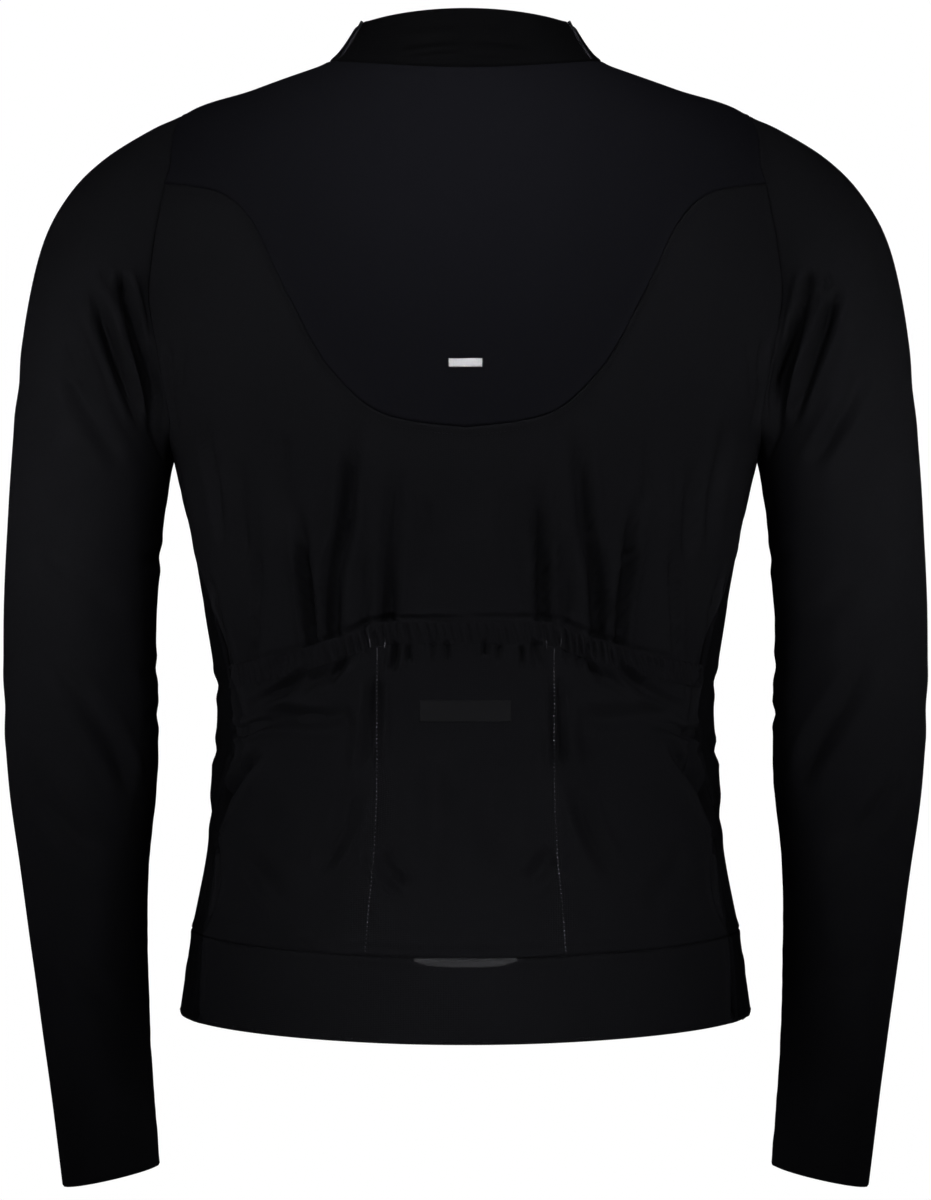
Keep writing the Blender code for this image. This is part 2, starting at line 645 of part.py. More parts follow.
def add_combined(name, bm, others, frame, material):
    """A solid from one mesh and others that are joined to it or cut from it."""
    base = add_object(name, bm, material, smooth_deg=30)
    base.matrix_world = frame
    for number, (operation, other) in enumerate(others):
        tool = add_object(f"{name}_tool_{number}", other, material)
        tool.matrix_world = frame
        tool.hide_render = True
        tool.display_type = "WIRE"
        step = base.modifiers.new(f"{operation.lower()}_{number}", "BOOLEAN")
        step.operation = operation
        step.object = tool
    return base


def slider_frame():
    """Frame of the slider on the collar, at its middle, on the face of the teeth."""
    top = len(COLLAR_RINGS) - 1
    return front_frame(COLLAR_RINGS, top - 0.06, -SLIDER_BELOW_TOP, on_tape(COLLAR_RINGS) + SEAM_GAP)


def add_slider(material):
    width, length, height = SLIDER_SIZE
    pin_height = height + EYE_RADIUS + LAYER_GAP
    lug_size = (LUG_THICKNESS, 2.6 * PIN_RADIUS * 2, pin_height + PIN_RADIUS * 1.6 - height / 2)
    lug_x = (LUG_GAP + LUG_THICKNESS) / 2
    joined = [("UNION", box_mesh(lug_size, (side * lug_x, 0, height / 2 + lug_size[2] / 2)))
              for side in (-1, 1)]
    joined.append(("UNION", rod_mesh(PIN_RADIUS, LUG_GAP + LUG_THICKNESS, (0, 0, pin_height))))
    plate = box_mesh((width, length, height), (0, 0, height / 2), bevel=0.6 * MM)
    add_combined("zip_slider", plate, joined, slider_frame(), material)
    return pin_height


def add_pull(pin_height, material):
    """Pull tab, resting down the collar, with its origin on the axis of the slider's pin."""
    width, length, thickness = PULL_SIZE
    neck_width = LUG_GAP - 2 * LAYER_GAP
    neck_length = 3.4 * MM
    eye = rod_mesh(EYE_RADIUS, neck_width, (0, 0, 0), segments=24)
    neck = box_mesh((neck_width, neck_length, thickness), (0, -EYE_BORE - neck_length / 2 - 0.2 * MM, 0))
    reach = EYE_BORE + neck_length
    plate = box_mesh((width, length, thickness), (0, -reach - length / 2 + 0.4 * MM, 0), bevel=0.45 * MM)
    bore = rod_mesh(EYE_BORE, 2 * width, (0, 0, 0))
    frame = (slider_frame() @ Matrix.Translation((0, 0, pin_height))
             @ Matrix.Rotation(math.radians(PULL_LEAN_DEG), 4, "X"))
    add_combined("zip_pull", eye, [("UNION", neck), ("UNION", plate), ("DIFFERENCE", bore)],
                 frame, material)


def add_zip_stop(material):
    frame = front_frame(BODY_RINGS, 0.0, STOP_SIZE[1] / 2 + 0.4 * MM,
                        under_cloth(BODY_RINGS) + SEAM_GAP + STOP_SIZE[2] / 2)
    stop = add_object("zip_stop", box_mesh(STOP_SIZE, bevel=0.5 * MM), material, smooth_deg=30)
    stop.matrix_world = frame


def add_piping(name, side, material):
    """A round bead along the collar seam behind the neck's side."""
    columns = SIDE_COLUMNS + CENTRE_COLUMNS
    angle = np.linspace(SHOULDER_SEAM_DEG, 90, columns + 1)[COLLAR_SEAM_COLUMN]
    curve = bpy.data.curves.new(name, "CURVE")
    curve.dimensions = "3D"
    curve.bevel_depth = PIPING_RADIUS
    curve.bevel_resolution = 1
    curve.use_fill_caps = True
    levels = np.linspace(0.1, len(COLLAR_RINGS) - 1, 2 * COLLAR_ROWS + 1)
    line = curve.splines.new("POLY")
    line.points.add(len(levels) - 1)
    for point, level in zip(line.points, levels):
        here = ring_point(COLLAR_RINGS, angle, level)
        around = ring_point(COLLAR_RINGS, angle + 1, level) - here
        up = ring_point(COLLAR_RINGS, angle, level + 0.01) - here
        out = np.cross(around, up)
        place = here + out / np.linalg.norm(out) * (PIPING_RADIUS + LAYER_GAP)
        point.co = (side * place[0], place[1], place[2], 1)
    curve.materials.append(material)
    bpy.context.scene.collection.objects.link(bpy.data.objects.new(name, curve))


def add_trims(skins, normals, cloth, pale, black):
    """Pockets, label and reflective trims, each on the face of what it is sewn to."""
    rows = slice(0, POCKET_ROWS + 1)
    lift = LAYER_GAP + CLOTH_WALL
    strip = raised(skins["back_panel"][rows], normals["back_panel"][rows], lift)
    add_cloth("pocket_strip", pulled_in(strip, False), normals["back_panel"][rows], CLOTH_WALL, cloth)
    rows = slice(POCKET_ROWS, POCKET_ROWS + 2)
    band = raised(skins["back_panel"][rows], normals["back_panel"][rows], lift)
    add_cloth("pocket_hem", pulled_in(band, False), normals["back_panel"][rows], CLOTH_WALL, cloth)
    add_patch("label_patch", strip, LABEL_SIZE, LABEL_TOP_Z, LAYER_GAP, black)
    add_patch("reflective_bar", skins["back_yoke"], BAR_SIZE, BAR_TOP_Z, LAYER_GAP, pale)
    seam_z = skins["hem_back"][-1, :, 2].min()
    add_patch("reflective_tab", skins["hem_back"], TAB_SIZE, seam_z - SEAM_GAP, LAYER_GAP, pale,
              lens=True)
    add_piping("collar_piping_left", 1, pale)
    add_piping("collar_piping_right", -1, pale)


def main():
    for thing in list(bpy.data.objects):
        bpy.data.objects.remove(thing)
    body_cloth = new_material("brushed_thermal_knit", (0.008, 0.008, 0.009), 0.85)
    yoke_cloth = new_material("windproof_knit", (0.010, 0.010, 0.013), 0.7)
    rib_cloth = new_material("collar_knit", (0.005, 0.005, 0.006), 0.9)
    reflective = new_material("reflective_film", (0.45, 0.45, 0.47), 0.4)
    label_weave = new_material("woven_label", (0.012, 0.012, 0.013), 0.6)
    tape = new_material("zip_tape_weave", (0.006, 0.006, 0.007), 0.8)
    metal = new_material("black_enamelled_zinc", (0.02, 0.02, 0.02), 0.35, 0.6)

    skins = body_panels()
    collar_panels(skins)
    skins["sleeve_left"] = sleeve_skin()[:, ::-1]
    for name in ("front_left", "hem_left", "collar_left", "sleeve_left"):
        skins[name.replace("left", "right")] = mirrored(skins[name])
    closed = ("sleeve_left", "sleeve_right")
    normals = corner_normals(skins, closed)

    collars = [name for name in skins if name.startswith("collar")]
    for name, skin in skins.items():
        wall = COLLAR_WALL if name in collars else CLOTH_WALL
        cloth = rib_cloth if name in collars else yoke_cloth if name == "back_yoke" else body_cloth
        edges = {"low": not name.startswith(("hem", "sleeve")), "high": name not in collars,
                 "left": name not in ("front_left", "hem_left", "collar_left"),
                 "right": name not in ("front_right", "hem_right", "collar_right")}
        add_cloth(name, pulled_in(skin, name in closed, **edges), normals[name], wall, cloth,
                  closed=name in closed)
    add_trims(skins, normals, body_cloth, reflective, label_weave)
    add_zip_chain(tape, metal)
    pin_height = add_slider(metal)
    add_pull(pin_height, metal)
    add_zip_stop(metal)


main()
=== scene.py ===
"""Looks of a long-sleeved cycling jacket with a stand collar, a front zip and rear pockets.

Each cut piece of cloth is laid on the wearer's form as its pattern piece lies there, given its
folds and the swell of its seams, and then a wall. Metres, +Z up. The back faces +Y, the zip
faces -Y and the wearer's left is +X. Run it with blender --background --python.
"""
import math
from collections import namedtuple
from functools import lru_cache

import bmesh
import bpy
import numpy as np
from bpy.props import FloatProperty, FloatVectorProperty, PointerProperty
from mathutils import Matrix, Vector, noise
from mathutils.bvhtree import BVHTree


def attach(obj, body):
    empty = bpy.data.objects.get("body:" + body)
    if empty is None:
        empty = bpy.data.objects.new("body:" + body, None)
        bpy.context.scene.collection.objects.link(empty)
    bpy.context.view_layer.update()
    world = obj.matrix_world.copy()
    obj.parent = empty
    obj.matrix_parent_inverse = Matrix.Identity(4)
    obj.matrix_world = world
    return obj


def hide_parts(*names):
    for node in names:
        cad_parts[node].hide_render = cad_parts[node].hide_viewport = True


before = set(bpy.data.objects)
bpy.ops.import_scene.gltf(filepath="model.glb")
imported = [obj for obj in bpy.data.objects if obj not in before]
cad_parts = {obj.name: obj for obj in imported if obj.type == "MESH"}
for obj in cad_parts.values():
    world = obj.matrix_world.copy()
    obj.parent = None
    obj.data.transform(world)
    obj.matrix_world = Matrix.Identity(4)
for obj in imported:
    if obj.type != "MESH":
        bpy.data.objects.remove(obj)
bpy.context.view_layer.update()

bl_info = {
    "name": "Cycling jacket",
    "version": (1, 0, 0),
    "blender": (4, 5, 0),
    "location": "3D View > Sidebar > Jacket",
    "description": "Builds the cloth, trims, zip and studio of a cycling jacket",
    "category": "Object",
}

MM = 0.001

# Rings round the body, hem to neck, in millimetres. Each passes through a side point,
# a back centre point and a front centre point; square is its superellipse exponent,
# fall says how late it drops from the side to the centre, and seam_deg is where the
# side seam crosses it, in degrees behind the side point.
Ring = namedtuple("Ring", "side_x side_z back_y back_z front_y front_z square fall seam_deg")
BODY_RINGS = [
    Ring(177.0, -585, 113, -596, -107, -568, 2.45, 2.0, 27.5),   # hem
    Ring(169.0, -533, 114, -544, -108, -515, 2.45, 2.0, 25.5),   # hem seam
    Ring(160.0, -484, 112, -490, -109, -470, 2.40, 2.0, 24.5),
    Ring(157.5, -440, 108, -442, -109, -430, 2.35, 2.0, 30.0),
    Ring(154.0, -394, 105, -394, -109, -388, 2.30, 2.0, 27.5),   # waist
    Ring(161.0, -342, 108, -342, -111, -340, 2.30, 2.0, 24.0),
    Ring(170.0, -291, 113, -291, -115, -291, 2.30, 2.0, 9.0),
    Ring(181.0, -241, 118, -243, -118, -242, 2.30, 2.0, 0.0),    # armpit
    Ring(199.0, -188, 120, -206, -118, -203, 2.30, 1.9, 0.0),
    Ring(206.0, -126, 118, -170, -113, -166, 2.30, 1.8, 0.0),    # widest, inside the sleeve
    Ring(198.0, -68, 113, -134, -106, -130, 2.30, 1.7, 0.0),
    Ring(175.0, -30, 104, -97, -99, -101, 2.25, 1.7, 0.0),       # shoulder point
    Ring(130.0, -13, 86, -50, -88, -80, 2.15, 1.7, 0.0),
    Ring(84.0, 3, 62, -6, -74, -60, 2.05, 1.9, 0.0),             # neck seam
]
HEM_SEAM, ARMPIT, SHOULDER_POINT, NECK = 1.0, 7.0, 11.0, 13.0
COLLAR_RINGS = [
    BODY_RINGS[-1],
    Ring(75.5, 14, 59, 12, -71, -38, 2.05, 1.9, 0.0),
    Ring(68.5, 25, 55, 31, -66, -15, 2.05, 1.9, 0.0),            # top edge
]
COLLAR_TOP = 2.0

# Seams seen square on: distance from the centre and height, in millimetres
YOKE_SEAM = [(183, -76), (165, -79), (148, -84), (134, -95), (122, -114), (105, -150),
             (92, -175), (80, -193), (57, -215), (34, -223), (0, -227)]
ARMHOLE_BACK = [(181, -241), (181, -225), (183, -205), (188, -176), (193, -148), (191, -120),
                (187, -95), (183, -76), (180, -56), (175, -30)]
ARMHOLE_FRONT = [(175, -30), (176, -50), (179, -90), (182, -130), (183, -165), (181, -205),
                 (180.3, -226), (181, -241)]
POCKET_MOUTH = [(142.5, -370), (117, -364), (98, -359), (67, -349), (50, -343), (0, -342)]
POCKET_HEM_LEVELS = 0.27
DIVIDER = [(53, -367), (53, -398), (53, -430), (54, -466), (56, -495), (58, -515), (60, -541)]
TACKS = [[(53, -359), (53, -366)], [(57.5, -353), (57, -358)], [(48, -354), (48.5, -359)]]
# Rows of stitches: the piece and the edge that each follows, and how far from it
BACK_ROWS = [("back_panel", "high", 2.2), ("back_panel", "high", 5.6), ("hem_back", "high", 2.0),
             ("pocket_hem", "low", 0.6)]
HEM_ROWS = [("hem_back", "low", 2.5), ("hem_left", "low", 2.5), ("hem_right", "low", 2.5)]
# The fronts' edges beside the zip, and the line along which they are sewn to its tapes
ZIP_EDGE, ZIP_STITCH = 5.0 * MM, 14.0 * MM
# Where the seams at the shoulder and the collar's sides run, in degrees
SHOULDER_SEAM_DEG, COLLAR_SEAM_DEG = -9.0, 24.0

# Marks on a plain line, and where points lie beside a seam and beside the zip, in millimetres
LINE_MARKS = 97
STEPS_FROM_SEAM = (0.0, 0.5, 1.1, 1.8, 2.7, 3.9, 5.4, 7.2)
STEPS_TO_ZIP = (14, 12, 10, 8.4, 7.2, 6.2, 5.5, 5.0)
# Rough lengths in metres by which the rows and the columns of the smaller pieces are spaced
POCKET_HEIGHT, POCKET_HEM_HEIGHT, POCKET_HEM_STEP = 0.135, 0.0145, 0.9 * MM
HEM_HEIGHT, HEM_REACH, COLLAR_HEIGHT, COLLAR_BACK_REACH, COLLAR_REACH = 0.052, 0.16, 0.043, 0.09, 0.12

# Rings round a sleeve below the armhole, in millimetres: its outermost and innermost points
# as seen from behind, its middle and half its depth front to back, and how far its front
# and back bow out over the arm.
Cuff = namedtuple("Cuff", "outer_x outer_z inner_x inner_z middle_y half_depth bow")
SLEEVE_RINGS = [
    Cuff(194, -38, 183.2, -250, 0, 57, 17),
    Cuff(223, -56, 183.8, -253.5, 0, 59, 14),
    Cuff(245, -78, 184.4, -257.5, 0, 60, 10),
    Cuff(262, -109, 185.1, -263, 0, 60, 7),
    Cuff(272.5, -155, 186.0, -269, 0, 60, 4),
    Cuff(279, -212, 188.0, -283, 0, 59, 2),
    Cuff(283.5, -272, 190.0, -308, 0, 58, 0),
    Cuff(286.5, -336, 192.8, -348, -1, 56, 0),
    Cuff(286.5, -396, 191.8, -396, -3, 53, 0),
    Cuff(284.0, -444, 192.4, -444, -7, 50, 0),
    Cuff(277.5, -496, 198.0, -496, -13, 46, 0),
    Cuff(271.0, -549, 199.0, -549, -20, 43, 0),
    Cuff(264.5, -602, 198.2, -602, -29, 40, 0),
    Cuff(258.8, -652, 195.8, -650, -38, 37, 0),
    Cuff(254.0, -699, 193.4, -686, -46, 34, 0),
]
EVEN_FROM_RING = 6

# Share of its grey that a black dye leaves on most cloth and trims; the fronts get half as much, as
# painted shade for the sleeves' shadow on the sides
DYE = 0.022
FRONT_PAINTED_SHADE_SHARE = 0.011

# Gaps and trims
SEAM_GAP = 0.3 * MM
LAYER_GAP = 0.35 * MM
PIPING_RADIUS, PIPING_LIFT = 1.0 * MM, 0.9 * MM
# Zip: steps across a tape, how far each tooth reaches and stands off the centre, the share of
# its pitch and of the row's thickness that it fills, the levels that the stop takes up, and
# how far below the top edge the teeth end
TAPE_STEPS, TAPE_THICKNESS = np.array((0.15, 2.5, 5.0, 8.0, 11.0)) * MM, 1.0 * MM
TOOTH_REACH, TOOTH_OFFSET, TOOTH_BEVEL = 3.1 * MM, 0.95 * MM, 0.22 * MM
TEETH_THICKNESS, PITCH_FILL, THICKNESS_FILL = 1.8 * MM, 0.86, 0.92
STOP_LEVELS, TEETH_END_GAP = 0.18, 2 * MM
# Small pieces laid on the back, in millimetres: height of the top edge, or its place from the
# hem seam for the tab, lift off the cloth, and cells of the mesh
Trim = namedtuple("Trim", "name node cloth finish size top lift wall cells")
LABEL = Trim("woven_label", "label_patch", "pocket_strip_cloth", "woven_label",
             (55, 13), -390, 0.1, 0.5, (56, 14))
BAR = Trim("reflective_bar_film", "reflective_bar", "back_yoke_cloth", "bright_film",
           (20, 5), -186, 0.05, 0.35, (24, 8))
TAB = Trim("reflective_tab_film", "reflective_tab", "hem_back_cloth", "reflective_film",
           (61, 5.4), -0.2, 0.05, 0.5, (96, 8))

# Shape across a fold, in half widths: how far it reaches, how fast its trough tapers, and the
# rim on each side; then the share by which its depth varies along it, and the share and the
# height by which it differs from one side of the jacket to the other
FOLD_REACH, TROUGH_TAPER, RIM_HEIGHT, RIM_AT, RIM_WIDTH = 2.8, 1.35, 0.3, 1.5, 0.55
FOLD_UNEVEN, SIDES_UNEVEN, SIDES_SHIFT = 0.22, 0.14, 2.0
# Cloth near its edges, in millimetres: how far the swell beside a seam reaches, how deep and
# wide the seam itself sinks, and how deep and wide a turned edge rolls under
SWELL_REACH = 1.7
SEAM_SINK, SEAM_WIDTH = 0.45, 0.7
ROLL_SINK, ROLL_WIDTH = 0.7, 0.8
# How far a seamed edge is drawn out to close on its neighbour, and the collar's foot
SEAM_TUCK, COLLAR_FOOT_TUCK = 0.22 * MM, 1.6 * MM
# Where the form turns a corner, in millimetres: how far off folds and seams reach full depth
CORNER_SURVEY, FOLDS_FROM_CORNER, SEAMS_FROM_CORNER = 12.0, 6, 3
# Size and height in metres of the slight waves over all the cloth, and size of a seam's
# puckers and the share of its swell that they take or add
WAVE_SIZE, WAVE_HEIGHT = 0.045, 0.3 * MM
PUCKER_SIZE, PUCKER_SHARE = 0.009, 0.45
# Gathers of the pockets' top hem, and the dents that they pull in the cloth below
GATHER_PITCH, GATHER_DEPTH, GATHER_FULLNESS = 5.2 * MM, 3.4 * MM, 1.0 * MM
DENT_DEPTH, DENT_DROP, DENT_LENGTH = 3.6 * MM, 2.2 * MM, 4.2 * MM
# Flat and full lift of the pockets, and how far the back sinks behind them
POCKET_LIFT, POCKET_FULLNESS, POCKET_EASE, BEHIND_SINK = 0.6 * MM, 1.9 * MM, 10 * MM, 1.25 * MM

# Camera square behind the jacket, in metres, with its lens and sensor in millimetres
CAMERA_PLACE, CAMERA_LENS, CAMERA_SENSOR = (0, 3.0, -0.330), 145, 36
# Soft lights, in metres, watts and degrees; those off the centre come in mirrored pairs
Light = namedtuple("Light", "name place aim size power spread")
LIGHTS = [
    Light("back_softbox", (1.62, 1.46, -0.22), (0, 0, -0.36), 0.8, 43, 180),
    Light("front_softbox", (1.62, -1.46, -0.22), (0, 0, -0.36), 0.8, 70, 180),
    Light("back_beam", (1.89, 1.26, -0.07), (0.1, 0, -0.3), 0.5, 2.1, 20),
    Light("upper_sleeve_beam", (1.03, 2.05, 0.09), (0.28, 0, -0.22), 0.3, 1.8, 9),
    Light("lower_sleeve_beam", (1.03, 2.05, -0.11), (0.28, 0, -0.42), 0.3, 0.7, 9),
    Light("cuff_beam", (2.24, -0.17, -0.17), (0.27, 0, -0.45), 0.5, 0.2, 18),
    Light("yoke_beam", (0, 1.32, 1.18), (0, 0.05, -0.09), 0.3, 4.2, 14),
    Light("middle_beam", (0, 1.9, -0.25), (0, 0, -0.33), 0.3, 0.6, 14),
    Light("hem_beam", (0, 1.8, -0.57), (0, 0, -0.57), 0.3, 1.7, 12),
]

# Folds, by group and by the side they are seen from: depth and half width in millimetres, the
# line of places they follow, and the share of its length over which each end fades. A trough
# has a positive depth and a ridge a negative one.
Fold = namedtuple("Fold", "depth width line ends", defaults=((0.35, 0.3),))
SOFT_TOP, LONG_TOP, SHORT_TOP, AT_MOUTH = (0.55, 0.1), (0.42, 0.1), (0.3, 0.1), (0.2, 0.04)
SOFT_FOOT = (0.06, 0.5)
BEHIND_POCKETS = (SOFT_TOP, LONG_TOP, SHORT_TOP, AT_MOUTH)
BODY_BACK = [
    # hanging from the yoke to the pockets
    (11.6, 5.4, [(66, -214), (69, -250), (73, -287), (77, -308), (79, -332), (80, -366)], LONG_TOP),
    (10.4, 5.0, [(39, -240), (42, -268), (44, -300), (45, -329), (47, -358)], SOFT_TOP),
    (-1.4, 5.5, [(57, -232), (59, -270), (62, -318)]),
    (12.2, 4.6, [(107, -256), (101, -287), (97, -308), (94, -330), (90, -374)], SOFT_TOP),
    (-1.2, 5.0, [(88, -256), (88, -306), (88, -345)]),
    (3.0, 4.6, [(26, -262), (26, -286), (29, -336)]),
    (3.4, 3.2, [(57, -286), (60, -312), (62, -352)], SOFT_TOP),
    (2.6, 4.4, [(110, -226), (112, -250), (108, -276)]),
    (6.0, 3.2, [(124, -298), (127, -329), (129, -376)], SHORT_TOP),
    (-2.4, 4.0, [(121, -246), (121, -275), (121, -320)]),
    (5.2, 3.0, [(161, -298), (155, -320), (149, -341), (141, -378)], SOFT_TOP),
    (5.6, 4.6, [(181, -168), (181, -188), (180, -208), (174, -232)]),
    (4.2, 4.2, [(171, -172), (173, -192), (173, -214)]),
    (4.2, 6.0, [(160, -214), (156, -240), (150, -268), (147, -306)]),
    (4.6, 7.0, [(138, -240), (136, -275), (134, -312)]),
    (2.4, 2.4, [(141, -369), (117, -363), (98, -358), (67, -348), (50, -342), (0, -341)], AT_MOUTH),
    # on the pockets, pulled from their dividers and from the side seam
    (4.2, 2.5, [(43, -353), (43, -362), (43, -374)]),
    (3.2, 2.2, [(35, -355), (34, -362), (34, -369)]),
    (2.8, 2.0, [(21, -354), (20, -360), (20, -367)]),
    (3.4, 2.0, [(12, -353), (12, -360), (11, -368)]),
    (3.2, 2.4, [(72, -363), (76, -371), (82, -380)]),
    (3.6, 4.2, [(66, -362), (76, -371), (90, -378), (106, -390)]),
    (3.8, 3.8, [(88, -366), (98, -376), (112, -386), (136, -396)]),
    (-2.0, 5.0, [(92, -364), (106, -374), (126, -384)]),
    (4.6, 6.0, [(136, -401), (110, -400), (86, -403), (64, -400)]),
    (5.0, 5.0, [(55, -372), (54, -398), (55, -440)]),
    (-2.4, 4.6, [(66, -384), (66, -410), (68, -440)]),
    (3.8, 5.6, [(50, -476), (46, -490), (34, -506)]),
    (3.6, 7.0, [(62, -430), (74, -468), (90, -500)]),
    (7.0, 3.6, [(143, -407), (134, -410), (122, -406), (104, -406)], SOFT_FOOT),
    (7.6, 4.2, [(120, -415), (130, -429), (138, -444), (149, -466), (156, -480)]),
    (6.0, 3.6, [(141, -426), (146, -442), (151, -455), (156, -468)], SOFT_FOOT),
    (7.0, 3.0, [(143, -370), (138, -388), (134.5, -410), (134.5, -424), (139, -444),
                (147, -466)], (0.1, 0.4)),
    (5.6, 3.0, [(156, -466), (150, -480), (147.5, -497), (150, -512), (156, -528)]),
    (4.4, 2.8, [(160.5, -537), (162, -560), (163.5, -592)], (0.1, 0.1)),
    (4.0, 5.0, [(154, -470), (156.5, -492), (160, -512), (164, -530)]),
    (3.0, 4.5, [(168, -540), (170, -560), (172.5, -590)], (0.1, 0.1)),
    (2.6, 7.6, [(136, -480), (120, -500), (104, -520)]),
    (3.2, 10.2, [(20, -420), (16, -460), (22, -505)]),
]
BODY_FRONT = [
    (3.8, 7.2, [(176, -150), (150, -176), (118, -192), (88, -198)]),
    (-1.8, 7.2, [(172, -172), (142, -200), (108, -216)]),
    (3.5, 5.9, [(170, -222), (140, -228), (108, -228)]),
    (3.2, 8.1, [(60, -230), (64, -270), (66, -320), (70, -360)]),
    (3.5, 6.3, [(104, -288), (100, -322), (104, -362)]),
    (4.2, 5.4, [(150, -352), (128, -374), (98, -384), (70, -386)]),
    (3.4, 5.4, [(150, -402), (126, -404), (98, -398)]),
    (3.5, 5.9, [(150, -430), (126, -448), (96, -456), (60, -452)]),
    (2.4, 8.1, [(40, -380), (36, -430), (42, -480)]),
    (2.1, 7.2, [(140, -60), (112, -86), (84, -104)]),
]
BODY_SIDE = [
    (1.6, 5.9, [(52, -372), (30, -380), (0, -384), (-40, -380)]),
    (1.7, 5.9, [(40, -418), (12, -424), (-20, -420)]),
    (1.3, 7.0, [(50, -462), (22, -458), (-16, -468)]),
    (1.2, 9.4, [(20, -270), (8, -300), (10, -340)]),
]
SLEEVE_BACK = [
    (12.0, 4.6, [(211, -127), (207, -145), (201, -165), (194, -195), (187, -230)], (0.2, 0.3)),
    (6.5, 3.4, [(194, -160), (190, -182), (187, -205), (185, -238)]),
    (-3.4, 4.0, [(218, -145), (209, -170), (202, -196), (195, -230)]),
    (4.0, 2.8, [(222, -127), (217, -139), (211, -156)]),
    (8.6, 4.6, [(229, -138), (220, -160), (210, -187), (198, -228)]),
    (-2.6, 6.0, [(237, -158), (227, -184), (213, -216)]),
    (4.2, 7.0, [(246, -186), (230, -214), (208, -252)]),
    (3.0, 9.0, [(262, -290), (238, -316), (208, -338)]),
    (4.6, 7.9, [(258, -356), (236, -388), (212, -428), (204, -452)]),
    (3.4, 8.8, [(272, -430), (252, -462), (222, -488)]),
    (2.8, 7.9, [(254, -540), (234, -566), (210, -586)]),
]
SLEEVE_FRONT = [
    (6.0, 4.5, [(214, -112), (205, -140), (196, -172), (187, -210)], SOFT_TOP),
    (3.6, 6.3, [(236, -140), (216, -178), (200, -222)]),
    (4.2, 5.4, [(200, -362), (224, -372), (252, -374), (274, -368)]),
    (3.6, 5.4, [(198, -396), (222, -394), (250, -402)]),
    (2.7, 6.3, [(202, -436), (228, -428), (256, -440)]),
    (2.2, 7.2, [(206, -480), (230, -492), (252, -488)]),
    (1.8, 8.1, [(208, -590), (230, -600), (250, -596)]),
]
SLEEVE_INNER = [
    (1.1, 6.0, [(44, -300), (20, -306), (-14, -302), (-44, -310)]),
    (1.1, 6.0, [(38, -368), (8, -374), (-34, -366)]),
    (1.1, 6.0, [(30, -408), (0, -402), (-36, -410)]),
]
SLEEVE_SIDE = [
    (0.7, 13.0, [(44, -170), (20, -196), (-16, -190)]),
    (0.7, 13.0, [(36, -380), (6, -396), (-30, -388)]),
]
COLLAR_BACK = [
    (1.2, 2.0, [(40, 4), (26, 6), (0, 7)]),
    (1.2, 1.6, [(36, 0), (20, 2), (0, 2.6)]),
    (0.6, 3.4, [(44, 13), (22, 16), (0, 17)]),
]
FOLDS = {
    "body": {"back": BODY_BACK, "front": BODY_FRONT, "side": BODY_SIDE},
    "sleeve": {"back": SLEEVE_BACK, "front": SLEEVE_FRONT, "inner": SLEEVE_INNER,
               "side": SLEEVE_SIDE},
    "collar": {"back": COLLAR_BACK},
}
VIEWS = {"back": ((0, 2), (0, 1, 0)), "front": ((0, 2), (0, -1, 0)),
         "side": ((1, 2), (1, 0, 0)), "inner": ((1, 2), (-1, 0, 0))}

# Flat cut of each cloth piece, or of each of a left and a right one: widest and longest runs in
# mm and area in square metres, what it hangs from, and the small pieces sewn on it
Cut = namedtuple("Cut", "width length area hangs_from sewn_on", defaults=((),))


# ---- the wearer's form

def run(table, place):
    """Values between a table's rows, on a smooth curve through them."""
    table = np.array(table, float)
    place = np.asarray(place, float)
    last = len(table) - 1
    padded = np.vstack((2 * table[:1] - table[1:2], table, 2 * table[-1:] - table[-2:-1]))
    low = np.clip(np.floor(place).astype(int), 0, last - 1)
    t = (place - low)[..., None]
    before, here, there, after = (padded[low + k] for k in range(4))
    return 0.5 * (2 * here + (there - before) * t
                  + (2 * before - 5 * here + 4 * there - after) * t ** 2
                  + (3 * here - before - 3 * there + after) * t ** 3)


def surface(rings, marks):
    """Points at marks, each an angle round the body or collar and a level up its rings."""
    marks = np.asarray(marks, float)
    side_x, side_z, back_y, back_z, front_y, front_z, square, fall, _ = np.moveaxis(
        run(rings, marks[..., 1]), -1, 0)
    c, s = np.cos(np.radians(marks[..., 0])), np.sin(np.radians(marks[..., 0]))
    reach = (np.abs(c) ** square + np.abs(s) ** square) ** (-1 / square)
    end_y, end_z = np.where(s >= 0, back_y, front_y), np.where(s >= 0, back_z, front_z)
    return np.stack((side_x * c * reach, end_y * np.abs(s) * reach,
                     side_z + (end_z - side_z) * np.abs(s) ** fall), -1) * MM


def slopes(rings, marks):
    """How the form's points move with the angle and with the level, at marks."""
    turn, rise = np.array((0.05, 0.0)), np.array((0.0, 0.004))
    return ((surface(rings, marks + turn) - surface(rings, marks - turn)) / 0.1,
            (surface(rings, marks + rise) - surface(rings, marks - rise)) / 0.008)


def unit(vectors):
    return vectors / np.maximum(np.linalg.norm(vectors, axis=-1, keepdims=True), 1e-12)


def nearest(points, places):
    """The nearest of some places to each point: its number and its distance squared."""
    found = []
    for part in np.array_split(points, max(1, len(points) // 2000)):
        away = ((part[:, None] - places) ** 2).sum(-1)
        number = np.argmin(away, axis=1)
        found.append((number, away[np.arange(len(away)), number]))
    return [np.concatenate(part) for part in zip(*found)]


